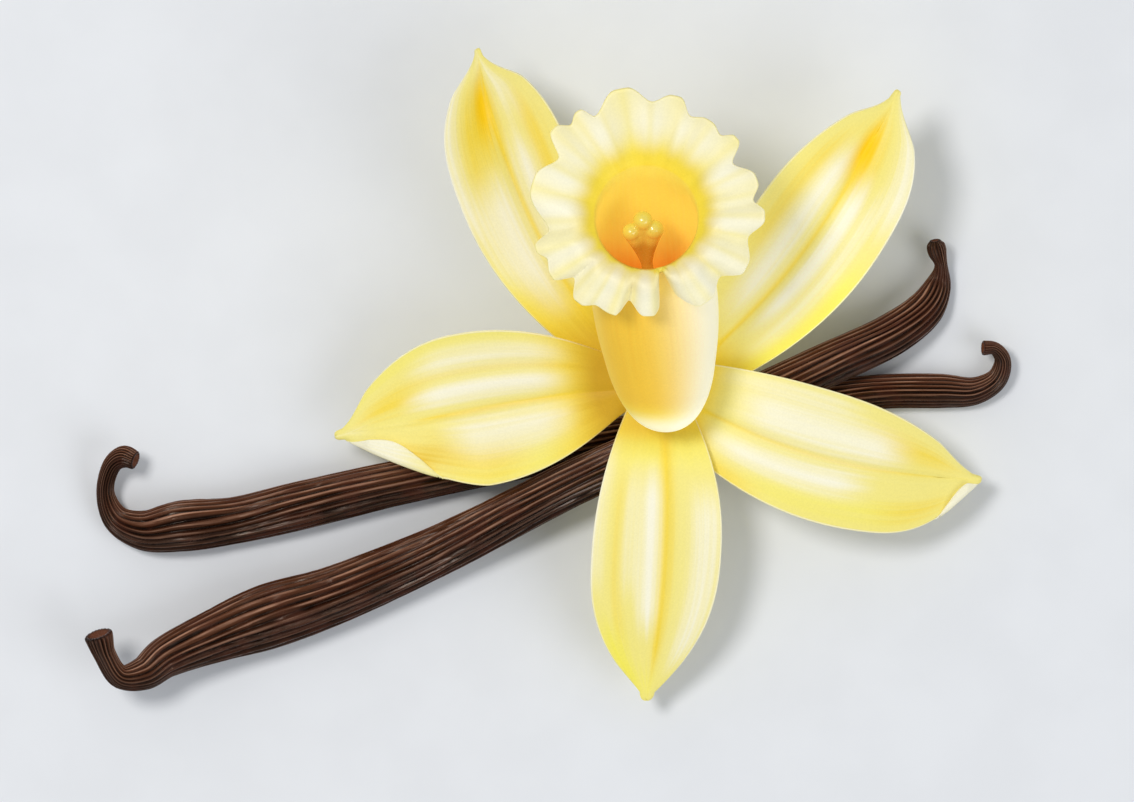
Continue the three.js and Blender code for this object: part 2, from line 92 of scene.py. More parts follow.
# Petals, as in the CAD part. left and right: the greatest half width of that side, the share of
# the length where it is reached, the half width at the root as a share of it, how blunt the side
# ends, how much it is pinched before the tip and how wide it stays at the very root. bow: how far
# the middle swings to the left. heights: of the middle, at even steps. cup and roll: how far both
# edges rise, and how far one rises over the other. groove: where the furrow lies across, at the
# root and at the tip (-1 right edge, 1 left edge, seen from the root). hollow: a dimple near the
# tip (along, across, depth). shade: how far the warm root reaches, a deeper gold that is partly
# the petal's own colour and partly painted shade under the trumpet. bright: more or less painted
# glow near the root, lightening or deepening the trumpet's shadow there. lip: an edge that folds
# over (side, start, fullest, end, width). bands: streaks of each tint along the petal, with their
# place across at the root and at the tip, their width, where they start and end along the
# petal, and their strength. The cream bands are partly the petal's pale streaks and partly
# painted highlights on its swells beside the furrow; the ochre bands are painted shade, mostly
# the trumpet's shadow over the roots.
PETALS = {
    "petal_upper_left": {
        "root": (-11.3, 7.9), "tip": (-38.5, 62.2), "half": 10.6,
        "left": (9.9, 0.68, 0.32, 3.15, 0.44, 0.0), "right": (10.7, 0.57, 0.2, 2.9, 0.5, 0.2),
        "tip_round": 0.5, "bow": 5.0, "heights": (15.4, 17.6, 21.2, 21.5), "cup": 1.5,
        "roll": -0.9, "groove": (-0.1, 0.05), "hollow": (0.84, 0.18, 0.8),
        "shade": 0.34,
        "bands": {
            "cream": [
                (0.42, 0.3, 0.26, 0.18, 0.64, 0.95), (-0.34, -0.26, 0.16, 0.3, 0.72, 0.95),
                (0.98, 0.92, 0.16, 0.55, 0.95, 0.75), (-0.62, -0.34, 0.2, 0.8, 0.97, 0.6),
                (0.75, 0.75, 0.24, 0.36, 0.62, 0.45), (0.0, 0.35, 0.2, 0.94, 1.0, 0.5),
            ],
            "gold": [
                (-0.1, 0.03, 0.06, 0.1, 0.92, 0.95), (-0.66, -0.58, 0.16, 0.45, 0.84, 0.75),
                (0.62, 0.5, 0.22, 0.62, 0.86, 0.55), (0.24, 0.24, 0.3, 0.7, 0.94, 0.8),
            ],
            "deep": [(0.18, 0.2, 0.17, 0.79, 0.89, 1.6)],
            "green": [(0.95, 0.95, 0.22, 0.1, 0.42, 0.5)],
            "ochre": [(-0.3, -0.3, 1.6, -0.2, 0.2, 0.85)],
        },
    },
    "petal_upper_right": {
        "root": (-4.2, 7.4), "tip": (31.8, 55.4), "half": 11.2,
        "left": (11.8, 0.53, 0.36, 2.1, 0.42, 0.0), "right": (10.1, 0.62, 0.45, 3.6, 0.38, 0.0),
        "tip_round": 0.6, "bow": -4.1, "heights": (15.4, 17.2, 19.8, 19.0), "cup": 1.5,
        "roll": 1.4, "groove": (0.12, 0.0), "hollow": (0.8, 0.1, 0.8),
        "shade": 0.16, "bright": 0.16,
        "bands": {
            "cream": [
                (0.42, 0.34, 0.17, 0.25, 0.78, 0.95), (-0.16, -0.24, 0.13, 0.25, 0.72, 1.0),
                (-0.55, -0.5, 0.18, 0.2, 0.7, 0.45), (-0.82, -0.86, 0.22, 0.66, 0.95, 0.8),
            ],
            "gold": [
                (0.12, 0.02, 0.06, 0.05, 0.9, 0.9), (0.74, 0.62, 0.16, 0.4, 0.8, 0.65),
                (-0.1, -0.1, 0.26, 0.66, 0.86, 0.35), (0.12, 0.08, 0.34, 0.7, 0.92, 0.8),
            ],
            "deep": [(0.1, 0.06, 0.19, 0.76, 0.87, 1.6)],
            "green": [(-0.9, -0.92, 0.28, 0.05, 0.52, 0.85)],
        },
    },
    "petal_left": {
        "root": (-10.4, 5.7), "tip": (-62.6, -2.3), "half": 12.9,
        "left": (13.6, 0.53, -0.02, 1.45, 0.04, 0.35), "right": (12.4, 0.57, 0.24, 2.3, 0.4, 0.2),
        "tip_round": 0.8, "bow": -1.5, "heights": (16.8, 16.4, 13.2, 9.2), "cup": 1.6,
        "roll": -1.4, "groove": (0.0, 0.1), "shade": 0.3, "bright": -0.07,
        "lip": (1, 0.66, 0.81, 0.97, 2.9),
        "bands": {
            "cream": [
                (-0.3, -0.2, 0.14, 0.22, 0.72, 1.0), (-0.74, -0.66, 0.16, 0.18, 0.7, 0.65),
                (0.4, 0.36, 0.24, 0.18, 0.62, 0.85), (0.0, 0.0, 0.3, 0.93, 1.0, 0.5),
            ],
            "gold": [
                (0.0, 0.1, 0.055, 0.05, 0.72, 1.0), (-0.52, -0.48, 0.07, 0.2, 0.7, 0.35),
                (-0.42, -0.34, 0.2, 0.7, 0.9, 0.85), (0.8, 0.55, 0.26, 0.42, 0.86, 0.75),
            ],
            "ochre": [
                (0.62, 0.62, 0.24, 0.64, 0.82, 0.35), (0.0, 0.0, 1.8, -0.2, 0.19, 1.25),
            ],
            "green": [
                (0.8, 0.85, 0.3, 0.2, 0.62, 0.5), (-0.92, -0.9, 0.14, 0.3, 0.9, 0.35),
            ],
        },
    },
    "petal_right": {
        "root": (-6.0, 4.1), "tip": (46.4, -9.7), "half": 11.0,
        "left": (12.0, 0.43, 0.54, 2.3, 0.27, 0.0), "right": (10.3, 0.66, 0.49, 3.15, 0.2, 0.0),
        "tip_round": 0.7, "bow": -4.0, "heights": (16.8, 17.6, 14.0, 7.6), "cup": 1.5,
        "roll": 1.5, "groove": (0.14, 0.02), "shade": 0.14, "lip": (-1, 0.885, 0.945, 0.995, 1.7),
        "bands": {
            "cream": [
                (0.5, 0.34, 0.26, 0.22, 0.72, 0.95), (-0.34, -0.22, 0.22, 0.16, 0.62, 0.95),
                (0.85, 0.8, 0.14, 0.15, 0.55, 0.4),
            ],
            "gold": [
                (0.14, 0.0, 0.05, 0.08, 0.88, 0.7), (0.62, 0.45, 0.24, 0.62, 0.9, 0.8),
                (-0.9, -0.6, 0.22, 0.72, 0.92, 0.6), (-0.92, -0.92, 0.2, 0.02, 0.3, 0.75),
            ],
            "green": [(-0.74, -0.66, 0.22, 0.28, 0.8, 0.45)],
        },
    },
    "petal_lower": {
        "root": (-8.4, 2.1), "tip": (-10.1, -46.9), "half": 11.1,
        "left": (10.7, 0.44, 0.54, 2.75, 0.0, 0.0), "right": (11.0, 0.52, 0.46, 2.55, 0.12, 0.0),
        "tip_round": 1.2, "bow": 0.8, "heights": (18.1, 17.4, 13.2, 7.6), "cup": 1.4,
        "roll": 0.0, "groove": (0.15, 0.1), "shade": 0.1,
        "bands": {
            "green": [
                (0.0, 0.0, 1.5, -0.2, 0.16, 0.9), (-0.85, -0.8, 0.3, 0.74, 0.96, 0.9),
                (-0.3, -0.1, 0.6, 0.9, 1.0, 0.6),
            ],
            "cream": [
                (-0.12, -0.12, 0.15, 0.22, 0.74, 1.0), (-0.42, -0.4, 0.12, 0.22, 0.62, 0.5),
                (0.8, 0.72, 0.26, 0.28, 0.86, 0.75), (-0.95, -0.92, 0.12, 0.14, 0.6, 0.45),
            ],
            "gold": [
                (0.15, 0.12, 0.12, -0.1, 0.88, 0.95), (-0.66, -0.6, 0.1, 0.24, 0.78, 0.35),
            ],
            "ochre": [(-0.2, -0.2, 1.2, -0.2, 0.11, 0.8)],
        },
    },
}
PETAL_ROWS = 150
PETAL_COLUMNS = 92
PETAL_TAPER = 1.08  # how fast a side narrows to its tip
PINCH_SPAN = (0.7, 0.95)  # where a side is pinched, from its fullest place to its tip
TIP_NECK = (0.8, 0.2, 1.3)  # least half width of a tip, its growth for each round of it, and most
FOLD_RADIUS = 0.55  # of the edge that folds over
TROUGH = (0.45, 0.16)  # broad hollow along a petal: depth, width as a share of the half width
FURROW = (0.22, 0.07)  # fine furrow, the same way
PETAL_WAVE = (0.35, 9, 2.2)  # rise of the edges, and their waves along and across
DIMPLE = (0.075, 0.16)  # length and width of a hollow
BAND_FADE = (0.08, 0.1)  # how softly a band starts and ends, outside and inside its start
BAND_RISE = {"cream": 0.22, "gold": -0.14}  # pale bands stand up and warm ones lie low
# Painted highlight: how pale a thin line along each petal's edge is.
RIM_HIGHLIGHT = 0.45
# Painted glow: the flower's flesh gives off light of its own colour, standing in for light through
# its thin petals.
PETAL_GLOW = 0.22
TINTS = ("cream", "gold", "deep", "green", "ochre")

# Trumpet: the tube's foot, a point that it bends towards and the middle of its mouth, then the
# half width of the tube at even steps.
TUBE_LINE = [(-7.4, 2.4, 24.6), (-9.0, 22.0, 28.5), (-10.6, 33.3, 45.2)]
TUBE_RADII = [5.9, 7.9, 9.0, 9.7, 10.0, 9.9, 9.6, 9.1, 8.7]
FOOT_SHAPE = (3.55, 0.36, 9)  # growth of the foot's parabola, how much it slims and over what
FOOT_DEPTH = 3.5  # from the closed end to the tube's first ring
FOOT_PACE = 39.7  # distance along the tube that a whole share stands for, near the foot
FOOT_LEAN = 77  # degrees that the ring at the foot is tilted, and that at the mouth
MOUTH_LEAN = 18
MOUTH_RADIUS = 8.7
WALL = 0.8  # thickness of the tube
LIP_EDGE = 0.24  # thickness at the ruffled edge
LIP_CREST = (1.7, 0.32, 0.26, 0.22)  # bulge of its near side: height, where, width, dip before
LIP_DROP = 3.2  # how far the near edge of the lip hangs
LIP_RISE = 6.1  # how far its rear edge stands up
LIP_WAVES = ((0.55, 3, 0.6), (0.35, 7, 2.0))  # height, number round the edge and phase
# Painted glow at the thin edge of the lip.
RIM_GLOW = 0.25
# Radii from and to which the warm throat fades on the lip: at its near side, how much more at the
# rear and how much less on the folds.
WARM_FADE = ((8.8, 1.6, 0.5), (10.0, 5.4, 1.2))
FLUTES = 26  # fine flutes round the lip
# The throat's orange is partly its own colour and partly painted shade low in the throat, where the
# near rim hides it.
THROAT_SHADE = (23.8, 31.8)  # y between which the throat goes from orange to gold
# The warm side is partly the tube's own gold and partly painted shade; the pale side is partly
# painted light.
WARM_SIDE = 240  # direction of the tube's warm side, and of its pale one
PALE_SIDE = 335
# Lobes of the mouth: direction of the crown, its reach, then direction and reach of the notch.
LOBES = [
    [1.5, 19.2, 9.4, 17.6], [19.0, 19.0, 32.3, 16.6], [42.0, 19.6, 48.3, 18.1],
    [57.0, 18.9, 66.7, 18.1], [76.0, 20.5, 87.2, 19.0], [101.0, 21.5, 116.9, 18.6],
    [122.5, 20.7, 129.0, 19.6], [135.8, 21.0, 146.0, 17.3], [162.0, 19.4, 187.0, 16.0],
    [195.9, 18.7, 202.5, 17.5], [211.9, 18.2, 219.5, 15.3], [231.0, 17.7, 240.6, 16.4],
    [250.6, 16.7, 257.9, 13.7], [271.0, 16.0, 285.0, 12.0], [306.0, 16.8, 321.0, 15.3],
    [333.0, 18.1, 348.8, 16.8],
]
SLIT = (284.6, 8.9, 2.0, 7.4)  # the deep cut: direction, reach, half width inside and outside
# Raised folds inside the mouth: direction, width in degrees and height.
FOLDS = [
    (118, 10, 0.9), (87.5, 9, 1.0), (69, 7, 0.8), (54, 8, 0.8), (28, 9, 1.0), (12, 6, 0.6),
    (-3, 8, 0.9), (-28, 9, 0.8), (-50, 10, 1.0), (-66, 6, 0.8), (-92, 8, 0.9),
    (-119, 8, 0.8), (-139, 7, 0.7), (-156, 7, 0.8), (176, 10, 1.0), (155, 9, 0.9), (138, 7, 0.7),
]
TRUMPET_COLUMNS = 480
FOOT_ROWS = 14
TUBE_ROWS = 34
LIP_STEPS = 34

# Column and core: middle line and width of the stalk, places and radii of the heads, then the
# middle of the core with its radii and heights.
STALK_LINE = [(-7.2, -0.1, 24.1, 2.0), (-8.9, 17.0, 28.6, 2.0), (-10.4, 26.4, 34.0, 2.0)]
HEADS = [(-11.1, 33.0, 40.2, 1.65), (-13.0, 31.2, 38.8, 1.5), (-9.3, 31.6, 39.0, 1.65)]
NECK_RADIUS = 0.95
MELT_SIZE = 0.16  # of the small cubes that the beads are melted into
CORE_MIDDLE = (-8.2, 4.9)
CORE_PROFILE = [(0, 14.7), (1.2, 14.8), (1.7, 15.4), (1.8, 16.6), (1.6, 17.4), (0, 17.7)]

FLOOR_HALF = 1.5  # metres from the middle of the floor to its edge
LENS_PER_METRE = 186.7  # focal length in millimetres for each metre of the camera's height
CAMERA_OVER = (0.00283, -0.00409)  # the place on the table that the camera is straight above


def colour_property(name, description, rgb):
    """A colour that the user can change."""
    return bpy.props.FloatVectorProperty(
        name=name, description=description, default=(*rgb, 1.0), size=4,
        subtype="COLOR", min=0.0, max=1.0,
    )


def number_property(name, description, value, least, most, **kind):
    """A number that the user can change: kind gives its unit or subtype."""
    return bpy.props.FloatProperty(
        name=name, description=description, default=value, min=least, max=most, **kind)


class PodSettings(bpy.types.PropertyGroup):
    """Sizes and colours of the cured pods."""
    ridges: bpy.props.IntProperty(
        name="Ridges", description="Long ridges round a pod", default=21, min=6, max=30)
    ridge_depth: number_property(
        "Ridge depth", "Depth of the furrows as a share of the half width",
        0.19, 0.0, 0.4, subtype="FACTOR")
    lumps: number_property(
        "Lumps", "Unevenness of the half width, as a share of it", 0.05, 0.0, 0.2, subtype="FACTOR")
    # The furrows' near-black is partly the pod's own dark brown and partly painted shade in the
    # creases.
    furrow_and_shade_colour: colour_property("Furrow", "Colour deep in the furrows", (0.005, 0.0016, 0.0008))
    skin_colour: colour_property("Skin", "Colour of the flanks", (0.086, 0.027, 0.010))
    # The crest colour is partly the ridges' own paler brown and partly painted highlights along
    # them.
    crest_and_highlight_colour: colour_property("Crest", "Colour on top of the ridges", (0.520, 0.280, 0.180))
    patch_colour: colour_property("Patches", "Colour of the redder patches", (0.075, 0.020, 0.011))
    cut_colour: colour_property("Cut ends", "Colour of the cut ends", (0.180, 0.062, 0.032))


class FlowerSettings(bpy.types.PropertyGroup):
    """Sizes and colours of the flower."""
    petal_thickness: number_property(
        "Petal thickness", "Thickness along the middle of a petal",
        0.0009, 0.0003, 0.002, unit="LENGTH")
    petal_edge: number_property(
        "Petal edge", "Thickness at the edge of a petal", 0.0004, 0.0002, 0.001, unit="LENGTH")
    fold_height: number_property(
        "Fold height", "Height of the folds inside the mouth", 0.0006, 0.0, 0.002, unit="LENGTH")
    yellow: colour_property("Yellow", "Main colour of the petals", (0.780, 0.690, 0.200))
    cream: colour_property("Cream", "Colour of the pale bands", (0.820, 0.790, 0.620))
    gold: colour_property("Gold", "Colour of the furrows and warm patches", (0.790, 0.590, 0.040))
    deep: colour_property("Deep yellow", "Colour of the spots near the tips", (0.880, 0.560, 0.0))
    # Ochre is painted shade: on the petals mostly the trumpet's shadow over their roots, on the
    # trumpet the shade down the tube's left and inside the mouth's edge.
    ochre: colour_property("Ochre", "Colour of the shaded roots", (0.560, 0.330, 0.010))
    green: colour_property("Lemon", "Greener yellow of the outer edges", (0.800, 0.720, 0.080))
    trumpet: colour_property("Trumpet", "Main colour of the trumpet", (0.84, 0.74, 0.30))
    lip: colour_property("Lip", "Colour of the lip's folds", (0.84, 0.81, 0.62))
    mouth: colour_property("Mouth", "Colour round the mouth", (0.80, 0.65, 0.05))
    orange: colour_property("Throat", "Colour deep in the trumpet", (0.740, 0.280, 0.020))
    # The stalk's darker orange-brown is partly its own colour and partly painted shade in the
    # crevices between the heads.
    stalk: colour_property("Stalk", "Colour of the column's stalk", (0.52, 0.30, 0.03))
    heads: colour_property("Heads", "Colour of the column's heads", (0.73, 0.60, 0.09))
    core_low: colour_property("Core, below", "Colour under the core", (0.30, 0.34, 0.06))
    core_high: colour_property("Core, above", "Colour on top of the core", (0.55, 0.56, 0.14))


class StageSettings(bpy.types.PropertyGroup):
    """Floor, light and camera."""
    floor_colour: colour_property("Floor", "Colour of the floor", (0.78, 0.80, 0.83))
    key_power: number_property(
        "Key light", "Power of the main light", 3.1, 0.0, 100.0, unit="POWER")
    fill_power: number_property(
        "Fill light", "Power of the fill light", 2.2, 0.0, 100.0, unit="POWER")
    surround: number_property(
        "Surround", "Strength of the light from all round", 0.45, 0.0, 10.0)
    camera_height: number_property(
        "Camera height", "Height of the camera over the table", 1.0, 0.2, 10.0, unit="LENGTH")


def smooth(value, low, high):
    """0 below low, 1 above high and a soft step between."""
    share = np.clip((value - low) / (high - low), 0, 1)
    return share * share * (3 - 2 * share)


def bell(value, width):
    """1 at zero, and softly less on both sides."""
    return np.exp(-((value / width) ** 2))


def rounded(value, start, least=0.0):
    """1 up to start, then a round fall to least at 1."""
    beyond = np.clip(value - start, 0, 1) / (1 - start)
    return np.sqrt(np.clip(1 - beyond**2, least, 1))


def off_by(degrees, middle):
    """How far a direction lies from a middle one, from -180 to 180 degrees."""
    return (degrees - middle + 180) % 360 - 180


def step_between(first, second, leave, arrive, on):
    """A smooth way from first to second that leaves and arrives with the given slopes."""
    return (
        (2 * first - 2 * second + leave + arrive) * on**3
        + (3 * second - 3 * first - 2 * leave - arrive) * on**2
        + leave * on
        + first
    )


def through(values, share):
    """A smooth number through evenly spread ones, at shares from 0 to 1."""
    values = np.asarray(values, float)
    place = np.clip(share, 0, 1) * (len(values) - 1)
    i = np.minimum(place.astype(int), len(values) - 2)
    padded = np.concatenate([values[:1], values, values[-1:]])
    before, here, after, next_one = (padded[i + k] for k in range(4))
    return step_between(here, after, (after - before) / 2, (next_one - here) / 2, place - i)


def path_through(stations, steps):
    """Points on the centripetal curve through the stations, and the half widths there."""
    spots = np.array([s[:3] for s in stations], float)
    padded = np.vstack([2 * spots[0] - spots[1], spots, 2 * spots[-1] - spots[-2]])
    on = (np.arange(steps) / steps)[:, None]
    parts = []
    for i in range(len(spots) - 1):
        a, b, c, d = padded[i:i + 4]
        ab, bc, cd = (math.sqrt(np.linalg.norm(q - p)) for p, q in ((a, b), (b, c), (c, d)))
        leave = ((b - a) / ab - (c - a) / (ab + bc) + (c - b) / bc) * bc
        arrive = ((c - b) / bc - (d - b) / (bc + cd) + (d - c) / cd) * bc
        parts.append(step_between(b, c, leave, arrive, on))
    points = np.vstack(parts + [spots[-1:]])
    widths = through([s[3] for s in stations], np.linspace(0, 1, len(points)))
    return points, widths / 2


def in_frame(points):
    """Layout millimetres to metres in the CAD's frame."""
    return (np.asarray(points, float) + LAYOUT_TO_FRAME) * MM


class Wires:
    """Places nodes in a tree and joins them, so that a formula reads as one."""

    def __init__(self, tree):
        self.tree = tree
        self.placed = 0

    def node(self, kind, feeds=None, **settings):
        node = self.tree.nodes.new(kind)
        node.location = (220 * (self.placed // 5), -230 * (self.placed % 5))
        self.placed += 1
        for name, value in settings.items():
            setattr(node, name, value)
        for name, value in (feeds or {}).items():
            self.feed(node.inputs[name], value)
        return node

    def feed(self, socket, value):
        if isinstance(value, bpy.types.NodeSocket):
            self.tree.links.new(value, socket)
        else:
            socket.default_value = value

    def math(self, operation, *values, clamp=False):
        node = self.node("ShaderNodeMath", operation=operation, use_clamp=clamp)
        for socket, value in zip(node.inputs, values):
            self.feed(socket, value)
        return node.outputs[0]

    def times(self, first, second, more=0.0, clamp=False):
        """first * second + more"""
        return self.math("MULTIPLY_ADD", first, second, more, clamp=clamp)

    def less(self, first, second, clamp=False):
        return self.math("SUBTRACT", first, second, clamp=clamp)

    def vector(self, operation, *values):
        node = self.node("ShaderNodeVectorMath", operation=operation)
        for socket, value in zip(node.inputs, values):
            self.feed(socket, value)
        return node.outputs["Vector"]

    def join(self, x, y, z):
        return self.node("ShaderNodeCombineXYZ", {"X": x, "Y": y, "Z": z}).outputs[0]

    def grey(self, shade):
        feeds = {"Red": shade, "Green": shade, "Blue": shade}
        return self.node("ShaderNodeCombineColor", feeds).outputs[0]

    def noise(self, vector, scale, detail=2.0, roughness=0.5):
        feeds = {"Vector": vector, "Scale": scale, "Detail": detail, "Roughness": roughness}
        return self.node("ShaderNodeTexNoise", feeds).outputs[0]

    def ramp(self, value, low, high, to_low=0.0, to_high=1.0):
        feeds = {
            "Value": value, "From Min": low, "From Max": high, "To Min": to_low, "To Max": to_high,
        }
        node = self.node("ShaderNodeMapRange", feeds, interpolation_type="SMOOTHSTEP")
        return node.outputs["Result"]

    def blend(self, share, first, second, how="MIX"):
        node = self.node("ShaderNodeMix", data_type="RGBA", blend_type=how)
        for index, value in ((0, share), (6, first), (7, second)):
            self.feed(node.inputs[index], value)
        return node.outputs[2]

    def carried(self, name, kind="Fac"):
        """What the mesh carries under a name."""
        return self.node("ShaderNodeAttribute", attribute_name=name).outputs[kind]

    def group(self, tree, values):
        """A node group with its own values."""
        return self.node("ShaderNodeGroup", values, node_tree=tree).outputs


def new_group(name, kind, inputs, outputs):
    """An empty node group with named inputs and outputs, its wires and what it is given."""
    tree = bpy.data.node_groups.new(name, kind)
    for side, rows in (("INPUT", inputs), ("OUTPUT", outputs)):
        for label, socket_kind, *value in rows:
            socket = tree.interface.new_socket(
                label, in_out=side, socket_type="NodeSocket" + socket_kind)
            if value:
                socket.default_value = value[0]
    w = Wires(tree)
    return tree, w, w.node("NodeGroupInput").outputs


def captured(w, geometry, **values):
    """Keeps values at the points of a curve while it is swept: name=(kind, value)."""
    node = w.node("GeometryNodeCaptureAttribute")
    for name, (kind, _) in values.items():
        node.capture_items.new(kind, name)
    w.feed(node.inputs["Geometry"], geometry)
    for name, (_, value) in values.items():
        w.feed(node.inputs[name], value)
    return node.outputs


def pod_tree():
    """A node tree that sweeps a ridged skin along a path with a radius at each point."""
    tree, w, given = new_group(
        "Pod skin", "GeometryNodeTree",
        [
            ("Path", "Geometry"), ("Sides", "Int", POD_SIDES), ("Ridges", "Int", 21),
            ("Ridge Depth", "Float", 0.19), ("Lumps", "Float", 0.05), ("Seed", "Float", 0.0),
            ("Finish", "Material"),
        ],
        [("Pod", "Geometry")],
    )
    line = w.node("GeometryNodeMeshToCurve", {"Mesh": given["Path"]}).outputs[0]
    kept = captured(
        w, line,
        middle=("VECTOR", w.node("GeometryNodeInputPosition").outputs[0]),
        length=("FLOAT", w.node("GeometryNodeSplineParameter").outputs["Length"]),
    )
    circle = w.node(
        "GeometryNodeCurvePrimitiveCircle", {"Resolution": given["Sides"], "Radius": 1.0})
    round_it = captured(
        w, circle.outputs[0],
        turn=("FLOAT", w.node("GeometryNodeSplineParameter").outputs["Factor"]),
    )
    swept = w.node(
        "GeometryNodeCurveToMesh",
        {
            "Curve": kept["Geometry"], "Profile Curve": round_it["Geometry"],
            "Scale": w.node("GeometryNodeInputRadius").outputs[0], "Fill Caps": True,
        },
    ).outputs[0]

    along = w.times(kept["length"], 100.0)  # centimetres from the left tip
    slide = w.times(given["Seed"], 3.7, along)

    def on_circle(turns):
        angle = w.times(turns, 2 * math.pi)
        return w.math("COSINE", angle), w.math("SINE", angle)

    cosine, sine = on_circle(round_it["turn"])

    def around(size, stretch):
        """A place round and along the pod for a noise: size across, stretch along."""
        return w.join(w.times(cosine, size), w.times(sine, size), w.times(slide, stretch))

    sway = w.times(w.noise(around(0.8, 0.30), 1.0, 1.0), RIDGE_SWAY, -RIDGE_SWAY / 2)
    turned = w.times(along, RIDGE_TWIST, w.math("ADD", round_it["turn"], sway))

    # The main furrows lie between the ridges, and finer wrinkles wander over their flanks.
    phase = w.times(w.times(turned, given["Ridges"]), math.pi)
    crest = w.math("ABSOLUTE", w.math("SINE", phase))
    furrow = w.math("POWER", w.less(1.0, crest), FURROW_SHARPNESS)
    uneven = w.ramp(w.noise(around(1.7, 0.45), 1.3, 2.0), 0.3, 0.6, 0.5, 1.0)
    stray = w.times(w.noise(around(2.2, 0.7), 1.0, 2.0), 3.0, 0.6)
    second = w.math("ABSOLUTE", w.math("SINE", w.times(phase, 2.0, stray)))
    wrinkle = w.math("POWER", w.less(1.0, second), WRINKLE_SHARPNESS)
    wrinkled = w.ramp(w.noise(around(2.4, 0.6), 2.0, 1.0), 0.42, 0.66, *WRINKLE_SHARES)
    cut = w.times(wrinkle, wrinkled, w.times(furrow, uneven))
    lump = w.times(w.noise(around(0.9, 1.4), 1.0, 3.0), given["Lumps"])
    reach = w.less(1.0, w.times(cut, given["Ridge Depth"], lump))

    spoke = w.vector(
        "SUBTRACT", w.node("GeometryNodeInputPosition").outputs[0], kept["middle"])
    spoke = w.node("ShaderNodeVectorMath", {0: spoke, "Scale": reach}, operation="SCALE").outputs[0]
    moved = w.vector("ADD", kept["middle"], spoke)
    moved = w.vector("MAXIMUM", moved, (-10.0, -10.0, 0.0))  # nothing sinks into the table
    skin = w.node("GeometryNodeSetPosition", {"Geometry": swept, "Position": moved}).outputs[0]

    spoke_parts = w.node("ShaderNodeSeparateXYZ", {0: w.vector("NORMALIZE", spoke)}).outputs
    # side: which way each point faces across the pod; the finish darkens the -y side with it as
    # painted shade
    stored = (
        ("ridge", "FLOAT", w.less(1.0, cut, clamp=True)),
        ("skin", "FLOAT_VECTOR", w.join(*on_circle(turned), slide)),
        ("side", "FLOAT", spoke_parts[1]),
    )
    for name, kind, value in stored:
        feeds = {"Geometry": skin, "Name": name, "Value": value}
        skin = w.node("GeometryNodeStoreNamedAttribute", feeds, data_type=kind).outputs[0]
    skin = w.node("GeometryNodeSetShadeSmooth", {"Geometry": skin}).outputs[0]
    skin = w.node("GeometryNodeRealizeInstances", {"Geometry": skin}).outputs[0]
    skin = w.node("GeometryNodeSetMaterial", {"Geometry": skin, "Material": given["Finish"]})
    w.node("NodeGroupOutput", {"Pod": skin.outputs[0]})
    return tree


def settled(mesh, prepare):
    """Runs the modifiers that prepare adds to a mesh and gives back a plain mesh."""
    holder = bpy.data.objects.new("holder", mesh)
    bpy.context.scene.collection.objects.link(holder)
    prepare(holder)
    bpy.context.view_layer.update()
    live = holder.evaluated_get(bpy.context.evaluated_depsgraph_get())
    result = bpy.data.meshes.new_from_object(live)
    bpy.data.objects.remove(holder)
    bpy.data.meshes.remove(mesh)
    return result


def grown(tree, mesh, values):
    """Runs a node tree on a mesh and gives back the result as a plain mesh."""
    def prepare(holder):
        modifier = holder.modifiers.new("grow", "NODES")
        modifier.node_group = tree
        for item in tree.interface.items_tree:
            if item.item_type == "SOCKET" and item.in_out == "INPUT" and item.name in values:
                modifier[item.identifier] = values[item.name]

    return settled(mesh, prepare)


def paint(mesh, name, values):
    """Stores one number for each point of a mesh."""
    layer = mesh.attributes.new(name, "FLOAT", "POINT")
    layer.data.foreach_set("value", np.asarray(values).astype(np.float32))


def hollow_ends(mesh):
    """Gives the flat ends of a swept pod a rounded rim and a sunken, torn-looking middle."""
    bm = bmesh.new()
    bm.from_mesh(mesh)
    cut = bm.verts.layers.float.new("cut")
    for cap in [f for f in bm.faces if len(f.verts) > 8]:
        middle = cap.calc_center_median()
        radius = sum((v.co - middle).length for v in cap.verts) / len(cap.verts)
        out = cap.normal.copy()
        ring = list(cap.verts)
        spokes = [v.co - middle for v in ring]
        bm.faces.remove(cap)
        for size, lift in CUT_RINGS:
            inner = []
            for spoke in spokes:
                inner.append(bm.verts.new(middle + spoke * size + out * radius * lift))
                inner[-1][cut] = smooth(0.9 - size, 0.0, 0.25)
            for k in range(len(ring)):
                after = (k + 1) % len(ring)
                bm.faces.new((ring[k], ring[after], inner[after], inner[k]))
            ring = inner
        hub = bm.verts.new(middle - out * radius * CUT_DEPTH)
        hub[cut] = 1.0
        for k in range(len(ring)):
            bm.faces.new((ring[k], ring[(k + 1) % len(ring)], hub))
    smooth_out(bm, mesh)


def smooth_out(bm, mesh):
    """Turns all faces outward, shades them smooth and writes them to the mesh."""
    bmesh.ops.recalc_face_normals(bm, faces=bm.faces)
    for face in bm.faces:
        face.smooth = True
    bm.to_mesh(mesh)
    bm.free()


